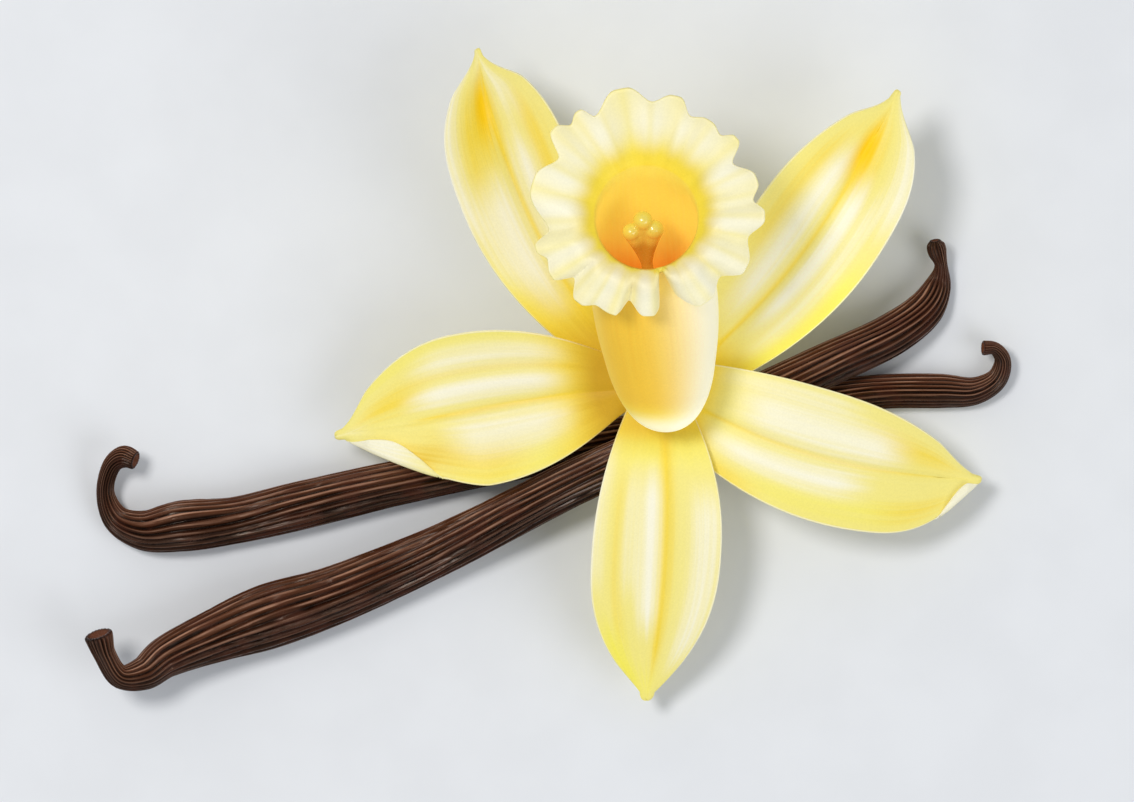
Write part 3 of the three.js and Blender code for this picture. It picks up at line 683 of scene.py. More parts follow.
def shell_mesh(name, layers, masks):
    """A closed skin from rings of points (rows, points, xyz) that ends in a point both ways.

    masks holds one array (rows, points) for each attribute.
    """
    rows, around = layers.shape[:2]
    points = in_frame(layers.reshape(-1, 3))
    ends = [points[:around].mean(0), points[-around:].mean(0)]
    total = rows * around
    at = np.arange(total).reshape(rows, around)
    right = np.roll(at, -1, axis=1)
    quads = np.stack([at[:-1], right[:-1], right[1:], at[1:]], axis=-1).reshape(-1, 4)
    faces = quads.tolist()
    for k in range(around):
        faces.append([total, int(right[0, k]), int(at[0, k])])
        faces.append([total + 1, int(at[-1, k]), int(right[-1, k])])
    mesh = bpy.data.meshes.new(name)
    mesh.from_pydata(np.vstack([points, ends]).tolist(), [], faces)
    for mask, values in masks.items():
        at_ends = [values[0].mean(), values[-1].mean()]
        paint(mesh, mask, np.concatenate([values.reshape(-1), at_ends]))
    bm = bmesh.new()
    bm.from_mesh(mesh)
    bmesh.ops.remove_doubles(bm, verts=bm.verts, dist=WELD * MM)
    smooth_out(bm, mesh)
    return mesh


def finish_piece(name, mesh, node, material):
    """Puts a mesh in the scene as the piece that stands for a CAD node."""
    piece = bpy.data.objects.new(name, mesh)
    bpy.context.scene.collection.objects.link(piece)
    mesh.materials.clear()
    mesh.materials.append(material)
    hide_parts(node)
    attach(piece, BODY)
    return piece


def surface_normals(grid, ring):
    """Unit normals of a grid of points (rows, columns, xyz)."""
    ahead = np.gradient(grid, axis=0)
    if ring:
        side = (np.roll(grid, -1, axis=1) - np.roll(grid, 1, axis=1)) / 2
    else:
        side = np.gradient(grid, axis=1)
    normals = np.cross(ahead, side)
    length = np.linalg.norm(normals, axis=-1, keepdims=True)
    return normals / np.maximum(length, 1e-9)


def petal_half(side, share, length, tip_round):
    """Half width of one side of a petal at a share of its length, with a small round tip."""
    half, fullest, narrow, blunt, pinch, stem = side
    back = np.clip((fullest - share) / fullest, 0, 1)
    near = np.hypot(1 - (1 - narrow) * back * back, stem * back**6)
    on = np.clip((share - fullest) / (1 - fullest), 0, 1)
    far = (1 - on**blunt) ** PETAL_TAPER * (1 - pinch * smooth(on, *PINCH_SPAN))
    to_tip = (1 - share) * length / tip_round
    least, growth, most = TIP_NECK
    neck = tip_round * np.minimum(most, least + growth * to_tip)
    wide = np.maximum(half * np.where(share < fullest, near, far), neck)
    to_tip = np.clip(to_tip, 0, 1)
    return np.where(to_tip < 1, tip_round * np.sqrt(to_tip * (2 - to_tip)), wide)


def petal_masks(petal, share, over):
    """How strong each tint is, over the whole petal."""
    fade, inside = BAND_FADE
    masks = {tint: np.zeros(np.broadcast(share, over).shape) for tint in TINTS}
    for tint, bands in petal["bands"].items():
        for at_root, at_tip, width, start, end, strength in bands:
            middle = at_root + (at_tip - at_root) * share
            window = smooth(share, start - fade, start + inside)
            window = window * (1 - smooth(share, end - fade, end + fade))
            masks[tint] += strength * window * bell(over - middle, width)
    # Warm root: deeper gold and no cream toward the root, partly the petal's own colour and partly
    # painted shade under the trumpet.
    shade = petal["shade"]
    masks["gold"] += 1 - smooth(share, shade * 0.55, shade * 1.25)
    masks["cream"] *= smooth(share, shade * 0.6, shade * 1.2)
    # Painted highlight along the petal's very edge.
    masks["cream"] += RIM_HIGHLIGHT * smooth(np.abs(over), 0.975, 0.998)
    return {tint: np.clip(mask, 0, 1) for tint, mask in masks.items()}


def folded_lip(petal, share, over, half):
    """Where each point lies across a petal, how high its fold lifts it and how far it is turned."""
    reach = over * half
    if "lip" not in petal:
        return reach, np.zeros_like(reach), np.zeros_like(reach)
    side, start, fullest, end, width = petal["lip"]
    strip = width * smooth(share, start, fullest) * (1 - smooth(share, fullest, end))
    bend = np.maximum(0.02, np.minimum(FOLD_RADIUS, strip / 2.4))
    extra = np.maximum(0, strip + (math.pi - 1) * bend) * np.minimum(1, strip / 0.1)
    material = over * side * (half + extra)
    turn_at = half - bend
    beyond = np.maximum(0, material - turn_at)
    turn = np.minimum(beyond / bend, math.pi)
    back = np.maximum(0, beyond - math.pi * bend)
    rolled = turn_at + bend * np.sin(turn) - back
    on_side = (over * side > 0) & (strip > 1e-3)
    reach = np.where(on_side, side * np.where(material > turn_at, rolled, material), reach)
    lift = np.where(on_side, bend * (1 - np.cos(turn)) + 0.10 * back, 0)
    return reach, lift, np.where(on_side, smooth(turn, 1.2, 2.4), 0)


def petal_heights(petal, share, across, fullness, masks):
    """Height of the middle of a petal's flesh."""
    at_root, at_tip = petal["groove"]
    furrow = across - (at_root + (at_tip - at_root) * share)
    z = through(petal["heights"], share)
    for place, (depth, width) in ((across, TROUGH), (furrow, FURROW)):
        z = z - depth * bell(place, width) * fullness
    z = z + petal["cup"] * across**2 * fullness * np.minimum(1, share * 2.4)
    z = z + petal["roll"] * across * fullness * (1 - share) * 1.5
    height, along_waves, across_waves = PETAL_WAVE
    z = z + height * np.sin(share * along_waves + across * across_waves) * np.abs(across) * share
    z = z + sum(rise * masks[tint] for tint, rise in BAND_RISE.items()) * fullness
    if "hollow" in petal:
        along_at, across_at, depth = petal["hollow"]
        z = z - depth * bell(share - along_at, DIMPLE[0]) * bell(across - across_at, DIMPLE[1])
    return z


def wrapped(upper, under=None):
    """Each row of the upper face, then the same row of the under face taken back."""
    under = upper if under is None else under
    return np.concatenate([upper, under[:, -2:0:-1]], axis=1)


def petal_mesh(name, petal, thickness, edge):
    """One petal: a cupped, grooved sheet with thin rounded edges and, on some, a folded lip."""
    row = np.linspace(0, 1, PETAL_ROWS)
    share = (np.sin(row * math.pi / 2) ** 1.25)[:, None]
    over = np.sin(np.linspace(-1, 1, PETAL_COLUMNS) * math.pi / 2)[None, :]
    root, tip = np.array(petal["root"]), np.array(petal["tip"])
    length = np.linalg.norm(tip - root)
    ahead = (tip - root) / length
    left = (-ahead[1], ahead[0])
    left_half, right_half = (
        petal_half(petal[side], share, length, petal["tip_round"]) for side in ("left", "right"))
    half = np.where(over > 0, left_half, right_half)
    fullness = (left_half + right_half) / (2 * petal["half"])
    masks = petal_masks(petal, share, over)
    reach, lift, folded = folded_lip(petal, share, over, half)
    across = reach / np.maximum(half, 1e-6)

    aside = petal["bow"] * np.sin(math.pi * share**0.9) + reach
    x, y = (root[k] + ahead[k] * length * share + left[k] * aside for k in (0, 1))
    z = petal_heights(petal, share, across, fullness, masks) + lift
    middle = np.stack([x, y, z], axis=-1)
    up = surface_normals(middle, ring=False)
    thick = (thickness + (edge - thickness) * np.abs(over) ** 1.5) * rounded(np.abs(over), 0.985)
    thick = thick * rounded(share, 0.99, least=0.04)
    upper, lower = (middle + up * thick[..., None] / 2 * way for way in (1, -1))

    under = wrapped(np.zeros_like(reach), np.ones_like(reach))
    fold = wrapped(folded)
    along = wrapped(np.broadcast_to(share, reach.shape))
    masks = {tint: wrapped(mask) for tint, mask in masks.items()}
    pale_fold = 0.9 * fold * (0.3 + 0.7 * smooth(along, 0.70, 0.84))
    cream = np.clip(np.maximum(masks["cream"] * (1 - 0.5 * under), pale_fold), 0, 1)
    masks = {tint: mask * (1 - 0.6 * under) * (1 - 0.9 * fold) for tint, mask in masks.items()}
    # Painted glow over the petal, more or less near the root.
    glow = PETAL_GLOW + petal.get("bright", 0) * (1 - smooth(along, 0.35, 0.8))
    masks.update(cream=cream, along=along, across=wrapped(across), glow=glow)
    return shell_mesh(name, wrapped(upper, lower), masks)


def lobe_edge(degrees):
    """Reach of the mouth's edge in each direction, and how it rises and falls."""
    crowns, reaches, notches, depths = np.array(LOBES).T
    crowns, reaches = np.append(crowns, crowns[0] + 360), np.append(reaches, reaches[0])
    turn = (degrees - crowns[0]) % 360 + crowns[0]
    i = np.clip(np.searchsorted(crowns, turn, side="right") - 1, 0, len(LOBES) - 1)
    before = turn < notches[i]
    crown = np.where(before, crowns[i], crowns[i + 1])
    reach = np.where(before, reaches[i], reaches[i + 1])
    share = np.abs((turn - crown) / (notches[i] - crown))
    edge = depths[i] + (reach - depths[i]) * (1 - smooth(share, 0.18, 1.0))
    middle, depth, inner, outer = SLIT
    cut = smooth(np.abs(off_by(degrees, middle)), inner, outer)
    return depth + (edge - depth) * cut, np.cos(share * math.pi) * cut


def fold_height(degrees):
    """Raised folds inside the mouth, 0 in the valleys to 1 on top."""
    height = np.zeros_like(degrees)
    for middle, width, strength in FOLDS:
        height = np.maximum(height, strength * bell(off_by(degrees, middle), width))
    return height


def rear_share(turn):
    """1 at the rear of the mouth and 0 at its near side."""
    return 0.5 + 0.5 * np.sin(turn)


def foot_radius(far):
    """Half width of the smooth, parabola-shaped foot at a distance from its end."""
    growth, slimming, over = FOOT_SHAPE
    return growth * math.sqrt(far) * (1 - slimming * (1 - math.exp(-far / over)))


def tilted_ring(middle, lean, radius, turn):
    """A ring of points whose rear is tilted down by lean degrees."""
    tall = radius * np.sin(turn)
    lean = math.radians(lean)
    return np.stack([
        middle[0] + radius * np.cos(turn),
        middle[1] + tall * math.cos(lean),
        middle[2] - tall * math.sin(lean),
    ], axis=-1)


def tube_rings(turn, folds):
    """Rings of the wall from the closed foot to the mouth, and how far along each of them is."""
    foot, bend, mouth = (np.array(p) for p in TUBE_LINE)
    back = foot - bend
    back = back / np.linalg.norm(back) * FOOT_DEPTH
    rings, along = [], []
    for k in range(1, FOOT_ROWS):
        far = FOOT_DEPTH * (k / FOOT_ROWS) ** 2
        to_go = 1 - far / FOOT_DEPTH
        rings.append(tilted_ring(foot + back * to_go, FOOT_LEAN, foot_radius(far), turn))
        along.append(-0.1 * to_go)
    for share in np.linspace(0, 1, TUBE_ROWS)[:-1]:
        middle = (1 - share) ** 2 * foot + 2 * share * (1 - share) * bend + share**2 * mouth
        lean = FOOT_LEAN + (MOUTH_LEAN - FOOT_LEAN) * share
        given = float(smooth(share, 0.06, 0.22))
        radius = through(TUBE_RADII, np.array(share)) * given
        radius = radius + foot_radius(FOOT_DEPTH + FOOT_PACE * share) * (1 - given)
        ribbed = radius * (1 - 0.02 * smooth(share, 0.75, 1.0) * (folds - 0.5))
        swell = 0.5 * math.sin(math.pi * smooth(share, 0.7, 1.0))
        ribbed = ribbed + swell * rear_share(turn)
        rings.append(tilted_ring(middle, lean, ribbed, turn))
        along.append(share)
    return rings, along


def lip_rings(turn, folds, edge, lift, fold_rise):
    """Rings of the lip from the mouth to its ruffled edge, and how far out each of them is."""
    mouth = TUBE_LINE[-1]
    rear = rear_share(turn)
    waves = sum(rise * np.sin(count * turn + phase) for rise, count, phase in LIP_WAVES)
    height, where, width, dip = LIP_CREST
    rings, out = [], np.linspace(0, 1, LIP_STEPS)
    for share in out:
        radius = MOUTH_RADIUS + (edge - MOUTH_RADIUS) * share
        slope = -math.tan(math.radians(MOUTH_LEAN)) * radius * np.sin(turn)
        crest = height * (bell(share - where, width) - dip * (1 - share) ** 2)
        flare = (1 - rear) * (crest - LIP_DROP * share**2) + rear * LIP_RISE * share**0.8
        ruffle = 0.4 * lift * share**1.8
        wave = share**2 * (1 - 0.6 * rear) * waves
        raised = fold_rise * (folds - 0.45) * math.sin(math.pi * min(1, share * 0.9)) ** 0.8
        curl = -0.5 * share**8
        rings.append(np.stack([
            mouth[0] + radius * np.cos(turn),
            mouth[1] + radius * np.sin(turn),
            mouth[2] + slope + flare + ruffle + wave + raised + curl,
        ], axis=-1))
    return rings, list(out)


def rim_glow(out):
    """A painted glow on the thin edge of the lip, standing in for light through it."""
    return RIM_GLOW * smooth(out, 0.93, 1.0)


def inner_masks(inside, turn, folds, edge, along, out):
    """Tints and painted glow inside the trumpet: a warm throat, orange low down, that pales over
    the folds of the lip.
    """
    rear = rear_share(turn)
    radius = MOUTH_RADIUS + (edge - MOUTH_RADIUS) * out
    lipped = (out > 0).astype(float)
    flutes = (0.5 + 0.5 * np.sin(FLUTES * turn + 1.5 * np.sin(3 * turn) + 1.0)) ** 3
    warm_from, warm_to = (near + more * rear - less * folds for near, more, less in WARM_FADE)
    warm = np.where(lipped > 0, 1 - smooth(radius, warm_from, warm_to), 1.0)
    # Cream on the folds' ridges is partly painted highlights; the lemon in the valleys between them
    # is partly painted shade.
    pale = (0.45 + 0.55 * folds) * (1 - 0.45 * flutes)
    pale = pale * (1 - 0.3 * rear * smooth(radius, 15.0, 20.0))
    valleys = (1 - folds) * (0.35 + 0.35 * rear)
    streaks = 0.55 * flutes * (1 - 0.5 * smooth(radius, 15, 19))
    depth = 1 - smooth(along + out, 0.85, 1.0 + 0.4 * rear)
    return {
        # Orange low in the throat: its own colour and painted shade.
        "deep": (1 - smooth(inside[..., 1], *THROAT_SHADE)) * (1 - lipped),
        "gold": warm * (0.8 + 0.2 * smooth(radius, MOUTH_RADIUS, MOUTH_RADIUS + 0.3)),
        "cream": lipped * smooth(radius, warm_from, warm_to + 1.5) * pale,
        "green": lipped * smooth(radius, 10.0, 14.0) * np.maximum(valleys, streaks),
        # Painted shade at the mouth's inner edge.
        "ochre": 0.2 * smooth(along, 0.94, 1.0) * (1 - smooth(radius, 9.8, 13.0)),
        # Painted glow, most deep in the throat where shade falls, and at the thin rim.
        "glow": 0.12 + 0.34 * depth + 0.08 * (1 - rear) * lipped + rim_glow(out),
    }


def outer_masks(degrees, along, out):
    """Tints and painted glow outside: warm down the left of the tube, partly painted shade, pale on
    the right, partly painted light, and pale at the foot.
    """
    lipped = (out > 0).astype(float)
    warm = np.exp(-(np.abs(off_by(degrees, WARM_SIDE) / 62) ** 2.6))
    by_slit = bell(off_by(degrees, SLIT[0]), 14)
    pale = bell(off_by(degrees, PALE_SIDE), 40)
    gold = np.maximum(warm * smooth(along, -0.06, 0.05), by_slit * smooth(along, 0.7, 0.85))
    cream = np.clip(pale + 0.8 * (1 - smooth(along, -0.08, 0.02)), 0, 1)
    return {
        # Orange, gold and ochre down the warm side: partly painted shade.
        "deep": 0.46 * warm * smooth(along, -0.06, 0.1) * (1 - lipped),
        "gold": gold * (1 - lipped) + 0.15 * lipped,
        "cream": cream * (1 - 0.3 * lipped),
        "green": np.zeros_like(cream),
        "ochre": 0.12 * warm * smooth(along, 0.0, 0.2) * (1 - lipped),
        # Painted glow, more on the pale side and at the foot.
        "glow": 0.33 + 0.1 * pale + 0.25 * (1 - smooth(along, -0.08, 0.1)) + rim_glow(out),
    }


def trumpet_mesh(name, fold_rise):
    """The trumpet: a thin wall from the closed foot to the ruffled mouth and back down inside."""
    even = np.arange(TRUMPET_COLUMNS) * 360 / TRUMPET_COLUMNS
    degrees = (even - np.degrees(0.5 * np.sin(np.radians(even - SLIT[0])))) % 360
    turn = np.radians(degrees)
    folds = fold_height(degrees)
    edge, lift = lobe_edge(degrees)
    tube, along = tube_rings(turn, folds)
    lip, out = lip_rings(turn, folds, edge, lift, fold_rise)
    middle = np.array(tube + lip)
    along = np.array(along + [1.0] * len(lip))[:, None]
    out = np.array([0.0] * len(tube) + out)[:, None]

    outward = surface_normals(middle, ring=True)
    if np.sum(outward[FOOT_ROWS] * (middle[FOOT_ROWS] - middle[FOOT_ROWS].mean(0))) < 0:
        outward = -outward
    thick = (WALL - (WALL - LIP_EDGE) * out**1.2) * rounded(out, 0.975)
    outside, inside = (middle + outward * thick[..., None] / 2 * way for way in (1, -1))

    shape = middle.shape[:2]
    outer = outer_masks(degrees[None, :], along, out)
    inner = inner_masks(inside, turn, folds, edge[None, :], along, out)
    pairs = {key: (np.clip(outer[key], 0, 1), np.clip(inner[key], 0, 1)) for key in outer}
    veins = np.abs((degrees / 60) % 2 - 1)
    pairs.update(across=(veins, veins), along=(along + out, along + out))
    masks = {}
    for key, sides in pairs.items():
        first, second = (np.broadcast_to(values, shape) for values in sides)
        masks[key] = np.concatenate([first, second[-2::-1]], axis=0)
    return shell_mesh(name, np.concatenate([outside, inside[-2::-1]], axis=0), masks)


def column_mesh(name):
    """The column: a stalk with three pear-shaped heads, melted into one skin."""
    bm = bmesh.new()

    def bead(place, radius, tall=1.0):
        made = bmesh.ops.create_icosphere(bm, subdivisions=3, radius=1.0)["verts"]
        for vert in made:
            vert.co = Vector(place) + Vector((vert.co.x, vert.co.y, vert.co.z * tall)) * radius

    def melt(holder):
        remesh = holder.modifiers.new("melt", "REMESH")
        remesh.mode = "VOXEL"
        remesh.voxel_size = MELT_SIZE
        holder.modifiers.new("ease", "SMOOTH").iterations = 6

    for point, half in zip(*path_through(STALK_LINE, 20)):
        bead(point, half)
    fork = np.array(STALK_LINE[-1][:3])
    for x, y, z, radius in HEADS:
        bead((x, y, z), radius, 1.15)
        for share in np.linspace(0, 1, 22):
            spot = fork + (np.array((x, y, z)) - fork) * share
            swell = (radius * 0.98 - NECK_RADIUS) * max(0.0, (share - 0.3) / 0.7) ** 1.5
            bead(spot, NECK_RADIUS + swell)
    mesh = bpy.data.meshes.new(name)
    bm.to_mesh(mesh)
    bm.free()
    mesh = settled(mesh, melt)
    places = np.zeros(len(mesh.vertices) * 3)
    mesh.vertices.foreach_get("co", places)
    places = places.reshape(-1, 3)
    near = np.min([np.linalg.norm(places - np.array(h[:3]), axis=1) / h[3] for h in HEADS], axis=0)
    # Heads pale, falling to the stalk's darker colour, which is partly painted shade between them.
    paint(mesh, "head", 1 - smooth(near, 1.0, 2.2))
    mesh.vertices.foreach_set("co", in_frame(places).reshape(-1))
    mesh.polygons.foreach_set("use_smooth", [True] * len(mesh.polygons))
    mesh.update()
    return mesh


def core_mesh(name):
    """The core: a small ribbed knob under the trumpet."""
    radii, heights = zip(*CORE_PROFILE)
    share = np.linspace(0.02, 0.98, 40)
    turn = np.linspace(0, 2 * math.pi, 96, endpoint=False)
    radius = np.maximum(0.02, through(radii, share))[:, None] * 0.97
    ribbed = radius * (1 - 0.05 * (0.5 + 0.5 * np.cos(turn * 6)))[None, :]
    x, y = CORE_MIDDLE
    z = through(heights, share)[:, None] + 0 * ribbed
    layers = np.stack([x + ribbed * np.cos(turn), y + ribbed * np.sin(turn), z], axis=-1)
    return shell_mesh(name, layers, {"head": share[:, None] + 0 * ribbed})


def streak_group():
    """Long streaks that follow a surface: veins on a petal, wrinkles on a pod."""
    tree, w, given = new_group(
        "Long streaks", "ShaderNodeTree",
        [("Vector", "Vector"), ("Fineness", "Float", 10.0), ("Stretch", "Float", 1.0),
         ("Detail", "Float", 2.0)],
        [("Streak", "Float")],
    )
    parts = w.node("ShaderNodeSeparateXYZ", {0: given["Vector"]}).outputs
    sizes = (given["Fineness"], given["Fineness"], given["Stretch"])
    place = w.join(*(w.times(part, size) for part, size in zip(parts, sizes)))
    streak = w.ramp(w.noise(place, 1.0, given["Detail"]), 0.3, 0.7)
    w.node("NodeGroupOutput", {"Streak": streak})
    return tree


def speckle_group():
    """A fine even grain over a surface, from its object coordinates."""
    tree, w, given = new_group(
        "Fine grain", "ShaderNodeTree",
        [("Grains per Metre", "Float", 2500.0)], [("Grain", "Float"), ("Cloud", "Float")],
    )
    place = w.node("ShaderNodeTexCoord").outputs["Object"]
    grain = w.ramp(w.noise(place, given["Grains per Metre"], 2.0, 0.6), 0.25, 0.75)
    cloud = w.noise(place, w.times(given["Grains per Metre"], 0.05), 3.0)
    w.node("NodeGroupOutput", {"Grain": grain, "Cloud": cloud})
    return tree


def tint_group(streaks):
    """Blends the flower's tints by the masks painted on the mesh, softened along its veins."""
    tree, w, given = new_group(
        "Petal tints", "ShaderNodeTree",
        [("Base", "Color"), ("Cream", "Color"), ("Gold", "Color"), ("Deep", "Color"),
         ("Green", "Color"), ("Ochre", "Color"), ("Vein Strength", "Float", 0.4)],
        [("Color", "Color"), ("Vein", "Float")],
    )
    place = w.join(w.carried("across"), 0.35, w.carried("along"))
    vein = w.group(streaks, {
        "Vector": place, "Fineness": 16.0, "Stretch": 1.3, "Detail": 3.0})["Streak"]
    away = w.ramp(w.carried("along"), 0.05, 0.45, 0.1, 1.0)  # the veins fade at the root
    wobble = w.times(w.less(vein, 0.5), w.times(given["Vein Strength"], away))
    wobble = w.times(wobble, 4.0)
    colour = given["Base"]
    for tint in ("Green", "Gold", "Cream", "Deep", "Ochre"):
        strength = w.carried(tint.lower())
        room = w.times(strength, w.less(1.15, strength))
        colour = w.blend(w.times(room, wobble, strength, clamp=True), colour, given[tint])
    w.node("NodeGroupOutput", {"Color": colour, "Vein": w.times(vein, away)})
    return tree


def shared_groups():
    """The shader groups, made once."""
    found = bpy.data.node_groups
    if "Long streaks" not in found:
        tint_group(streak_group())
        speckle_group()
    return found["Long streaks"], found["Fine grain"], found["Petal tints"]


def new_material(name, **constants):
    """An empty node material with its shader, given its constants, and the wires to it."""
    material = bpy.data.materials.new(name)
    material.use_nodes = True
    material.node_tree.nodes.clear()
    w = Wires(material.node_tree)
    shader = w.node("ShaderNodeBsdfPrincipled")
    w.node("ShaderNodeOutputMaterial", {"Surface": shader.outputs[0]})
    for socket, value in constants.items():
        shader.inputs[socket.replace("_", " ")].default_value = value
    return material, w, shader.inputs


def add_bump(w, surface, strength, distance, height):
    """Gives a shader a relief."""
    feeds = {"Strength": strength, "Distance": distance, "Height": height}
    w.feed(surface["Normal"], w.node("ShaderNodeBump", feeds).outputs[0])


def pod_material(s, streaks, speckle):
    """Cured pod skin: near-black furrows that are partly painted shade, red-brown crests with paler
    streaks that are partly painted highlights, painted shade on the -y side, an oily gloss.
    """
    material, w, surface = new_material(
        "Cured pod skin", Specular_IOR_Level=0.18, Specular_Tint=(1.0, 0.72, 0.55, 1.0),
        Coat_Weight=0.09, Coat_Roughness=0.14)
    ridge, place = w.carried("ridge"), w.carried("skin", "Vector")
    broad, fine = (
        w.group(streaks, {"Vector": place, "Fineness": fineness, "Stretch": stretch, "Detail": 3.0})
        ["Streak"] for fineness, stretch in ((3.5, 0.8), (17.0, 1.6)))
    grain = w.group(speckle, {"Grains per Metre": 4200.0})
    # Painted shade: the -y side of each pod is darkened, and its crest highlights fade there, as if
    # it faced away from the light.
    painted_light_by_side = w.ramp(w.carried("side"), -0.65, 0.65, 0.2, 1.0)  # the near side is darker
    flank = w.times(w.ramp(ridge, 0.25, 0.95), painted_light_by_side)
    # Painted shade: near-black down in the furrows, over the pod's own dark brown.
    colour = w.blend(flank, s.furrow_and_shade_colour, s.skin_colour)
    # Painted highlights: thin pale lines on the crests, on the lit side only, over their own paler
    # brown.
    top = w.times(w.times(w.ramp(ridge, 0.88, 1.0), painted_light_by_side), broad)
    top = w.times(top, w.times(fine, 0.4, 0.6), clamp=True)
    colour = w.blend(top, colour, s.crest_and_highlight_colour)
    red = w.times(w.ramp(grain["Cloud"], 0.45, 0.65), 0.35)
    colour = w.blend(red, colour, s.patch_colour)
    colour = w.blend(w.times(w.carried("cut"), 0.8), colour, s.cut_colour)
    w.feed(surface["Base Color"], colour)
    w.feed(surface["Roughness"], w.times(grain["Grain"], 0.08, w.times(fine, 0.12, 0.17)))
    add_bump(w, surface, 0.2, 0.00016, w.times(grain["Grain"], 0.25, fine))
    return material


def flower_material(name, tints, speckle, colours, vein_strength, vein_bump):
    """Flower flesh: tinted bands, fine veins, a soft grain and a painted glow of its own colour, as
    strong as the glow mask.
    """
    material, w, surface = new_material(name, Emission_Strength=0.75, Specular_IOR_Level=0.3)
    painted = w.group(tints, {**colours, "Vein Strength": vein_strength})
    grain = w.group(speckle, {"Grains per Metre": 3000.0})
    shade = w.times(grain["Grain"], 0.05, 0.965)
    flesh = w.blend(1.0, painted["Color"], w.grey(shade), how="MULTIPLY")
    w.feed(surface["Base Color"], flesh)
    w.feed(surface["Emission Color"], w.blend(w.carried("glow"), (0.0, 0.0, 0.0, 1.0), flesh))
    w.feed(surface["Roughness"], w.times(grain["Cloud"], 0.2, 0.40))
    add_bump(w, surface, vein_bump, 0.0001, w.times(grain["Grain"], 0.3, painted["Vein"]))
    return material


def knob_material(name, speckle, low, high):
    """Waxy flesh that is darker below and paler on the heads, with a faint painted glow of its own
    colour.
    """
    material, w, surface = new_material(
        name, Emission_Strength=0.15, Coat_Weight=0.8, Coat_Roughness=0.08)
    grain = w.group(speckle, {"Grains per Metre": 3500.0})
    share = w.times(w.less(grain["Cloud"], 0.5), 0.5, w.carried("head"), clamp=True)
    flesh = w.blend(share, low, high)
    w.feed(surface["Base Color"], flesh)
    # Painted glow of the flesh's own colour.
    w.feed(surface["Emission Color"], flesh)
    w.feed(surface["Roughness"], w.times(grain["Grain"], 0.1, 0.2))
    add_bump(w, surface, 0.15, 0.0001, grain["Grain"])
    return material


class VANILLA_OT_make_pods(bpy.types.Operator):
    """Sweeps the ridged skin of both pods"""
    bl_idname = "vanilla.make_pods"
    bl_label = "Make Pods"

    def execute(self, context):
        s = context.scene.vanilla_pods
        streaks, speckle, _ = shared_groups()
        skin = pod_material(s, streaks, speckle)
        tree = pod_tree()
        for node, stations, seed in (("pod_lower", LOWER_POD, 0.4), ("pod_upper", UPPER_POD, 2.1)):
            points, halves = path_through(stations, POD_STEPS)
            path = bpy.data.meshes.new("path")
            edges = [(i, i + 1) for i in range(len(points) - 1)]
            path.from_pydata(in_frame(points).tolist(), edges, [])
            paint(path, "radius", halves * MM)
            mesh = grown(tree, path, {
                "Sides": POD_SIDES, "Ridges": s.ridges, "Lumps": s.lumps,
                "Ridge Depth": s.ridge_depth, "Seed": seed, "Finish": skin,
            })
            if len(mesh.polygons) < POD_SIDES:
                raise RuntimeError(f"the node tree made no skin for {node}")
            hollow_ends(mesh)
            finish_piece(node + "_skin", mesh, node, skin)
        return {"FINISHED"}


class VANILLA_OT_make_petals(bpy.types.Operator):
    """Makes the five petals with their grooves, folded lips and coloured bands"""
    bl_idname = "vanilla.make_petals"
    bl_label = "Make Petals"

    def execute(self, context):
        s = context.scene.vanilla_flower
        _, speckle, tints = shared_groups()
        colours = {
            "Base": s.yellow, "Cream": s.cream, "Gold": s.gold,
            "Deep": s.deep, "Green": s.green, "Ochre": s.ochre,
        }
        flesh = flower_material(
            "Petal flesh", tints, speckle, colours, vein_strength=0.24, vein_bump=0.3)
        for node, petal in PETALS.items():
            mesh = petal_mesh(node, petal, s.petal_thickness / MM, s.petal_edge / MM)
            finish_piece(node + "_flesh", mesh, node, flesh)
        return {"FINISHED"}


class VANILLA_OT_make_trumpet(bpy.types.Operator):
    """Makes the trumpet with its ruffled mouth"""
    bl_idname = "vanilla.make_trumpet"
    bl_label = "Make Trumpet"

    def execute(self, context):
        s = context.scene.vanilla_flower
        _, speckle, tints = shared_groups()
        colours = {
            "Base": s.trumpet, "Cream": s.lip, "Gold": s.mouth,
            "Deep": s.orange, "Green": s.yellow, "Ochre": s.ochre,
        }
        flesh = flower_material(
            "Trumpet flesh", tints, speckle, colours, vein_strength=0.05, vein_bump=0.12)
        mesh = trumpet_mesh("trumpet", s.fold_height / MM)
        finish_piece("trumpet_flesh", mesh, "trumpet", flesh)
        return {"FINISHED"}


class VANILLA_OT_make_column(bpy.types.Operator):
    """Makes the column with its three heads inside the mouth"""
    bl_idname = "vanilla.make_column"
    bl_label = "Make Column"

    def execute(self, context):
        s = context.scene.vanilla_flower
        wax = knob_material("Column wax", shared_groups()[1], s.stalk, s.heads)
        finish_piece("column_wax", column_mesh("column"), "column", wax)
        return {"FINISHED"}


class VANILLA_OT_make_core(bpy.types.Operator):
    """Makes the small knob where the petals meet, under the trumpet"""
    bl_idname = "vanilla.make_core"
    bl_label = "Make Core"

    def execute(self, context):
        s = context.scene.vanilla_flower
        wax = knob_material("Core wax", shared_groups()[1], s.core_low, s.core_high)
        finish_piece("core_wax", core_mesh("core"), "flower_core", wax)
        return {"FINISHED"}


def floor_material(colour):
    """Plain pale floor with a very faint cloudiness."""
    material, w, surface = new_material("Floor", Roughness=0.8)
    place = w.node("ShaderNodeTexCoord").outputs["Object"]
    cloud = w.ramp(w.noise(place, 60.0, 3.0), 0.3, 0.7, 0.97, 1.0)
    w.feed(surface["Base Color"], w.blend(1.0, colour, w.grey(cloud), how="MULTIPLY"))
    return material


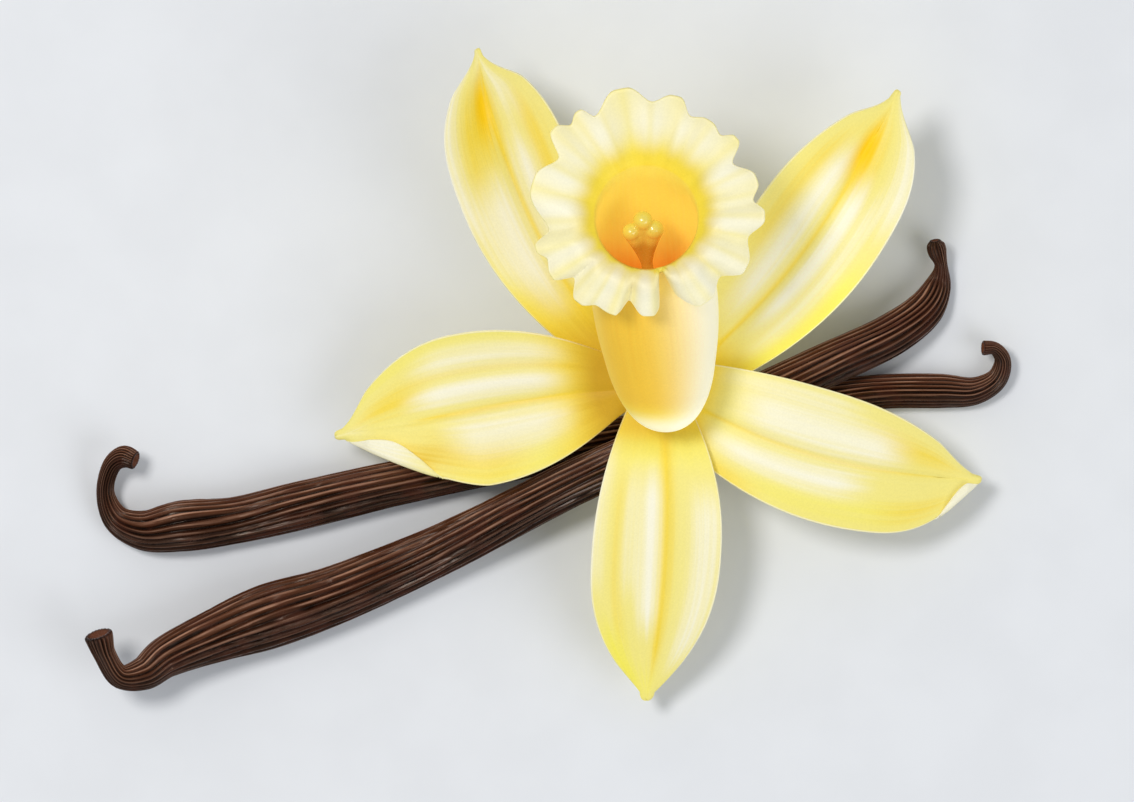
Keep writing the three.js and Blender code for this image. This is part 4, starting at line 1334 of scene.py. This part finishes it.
def add_lamp(scene, name, place, size, power, colour):
    """A round, soft light that looks at the pods."""
    light = bpy.data.lights.new(name, "AREA")
    light.shape = "DISK"
    light.size = size
    light.energy = power
    light.color = colour
    lamp = bpy.data.objects.new(name, light)
    lamp.location = place
    aim = Vector((0, 0, 0.015)) - Vector(place)
    lamp.rotation_euler = aim.to_track_quat("-Z", "Y").to_euler()
    scene.collection.objects.link(lamp)


class VANILLA_OT_set_stage(bpy.types.Operator):
    """Sets the plain floor, the soft studio light and the camera"""
    bl_idname = "vanilla.set_stage"
    bl_label = "Set Stage"

    def execute(self, context):
        scene = context.scene
        s = scene.vanilla_stage
        scene.view_settings.view_transform = "Standard"
        mesh = bpy.data.meshes.new("floor")
        far = FLOOR_HALF
        mesh.from_pydata(
            [(-far, -far, 0), (far, -far, 0), (far, far, 0), (-far, far, 0)], [], [(0, 1, 2, 3)])
        mesh.materials.append(floor_material(s.floor_colour))
        floor = bpy.data.objects.new("floor", mesh)
        scene.collection.objects.link(floor)

        add_lamp(scene, "key light", (-0.27, 0.16, 0.76), 0.22, s.key_power, (1.0, 0.98, 0.95))
        add_lamp(scene, "fill light", (0.55, -0.35, 0.60), 0.6, s.fill_power, (0.95, 0.97, 1.0))
        world = bpy.data.worlds.new("studio")
        world.use_nodes = True
        sky = world.node_tree.nodes["Background"]
        sky.inputs["Color"].default_value = (0.95, 0.97, 1.0, 1.0)
        sky.inputs["Strength"].default_value = s.surround
        scene.world = world

        camera = bpy.data.cameras.new("camera")
        camera.sensor_width = 36.0
        camera.lens = LENS_PER_METRE * s.camera_height
        camera.clip_end = 10.0
        seen = bpy.data.objects.new("camera", camera)
        seen.location = (*CAMERA_OVER, s.camera_height)
        scene.collection.objects.link(seen)
        scene.camera = seen
        return {"FINISHED"}


class VANILLA_PT_panel(bpy.types.Panel):
    """Lists the steps and their settings"""
    bl_idname = "VANILLA_PT_panel"
    bl_label = "Vanilla"
    bl_space_type = "VIEW_3D"
    bl_region_type = "UI"
    bl_category = "Vanilla"

    def draw(self, context):
        scene = context.scene
        groups = (
            (scene.vanilla_pods, OPERATORS[:1]),
            (scene.vanilla_flower, OPERATORS[1:5]),
            (scene.vanilla_stage, OPERATORS[5:]),
        )
        for settings, steps in groups:
            box = self.layout.box()
            for name in settings.__annotations__:
                box.prop(settings, name)
            for step in steps:
                box.operator(step.bl_idname)


OPERATORS = (
    VANILLA_OT_make_pods,
    VANILLA_OT_make_petals,
    VANILLA_OT_make_trumpet,
    VANILLA_OT_make_column,
    VANILLA_OT_make_core,
    VANILLA_OT_set_stage,
)
CLASSES = (PodSettings, FlowerSettings, StageSettings, *OPERATORS, VANILLA_PT_panel)


def register():
    for cls in CLASSES:
        bpy.utils.register_class(cls)
    bpy.types.Scene.vanilla_pods = bpy.props.PointerProperty(type=PodSettings)
    bpy.types.Scene.vanilla_flower = bpy.props.PointerProperty(type=FlowerSettings)
    bpy.types.Scene.vanilla_stage = bpy.props.PointerProperty(type=StageSettings)


def unregister():
    for name in ("vanilla_pods", "vanilla_flower", "vanilla_stage"):
        delattr(bpy.types.Scene, name)
    for cls in reversed(CLASSES):
        bpy.utils.unregister_class(cls)


def main():
    register()
    for step in OPERATORS:
        family, name = step.bl_idname.split(".")
        getattr(getattr(bpy.ops, family), name)()


if __name__ == "__main__":
    main()
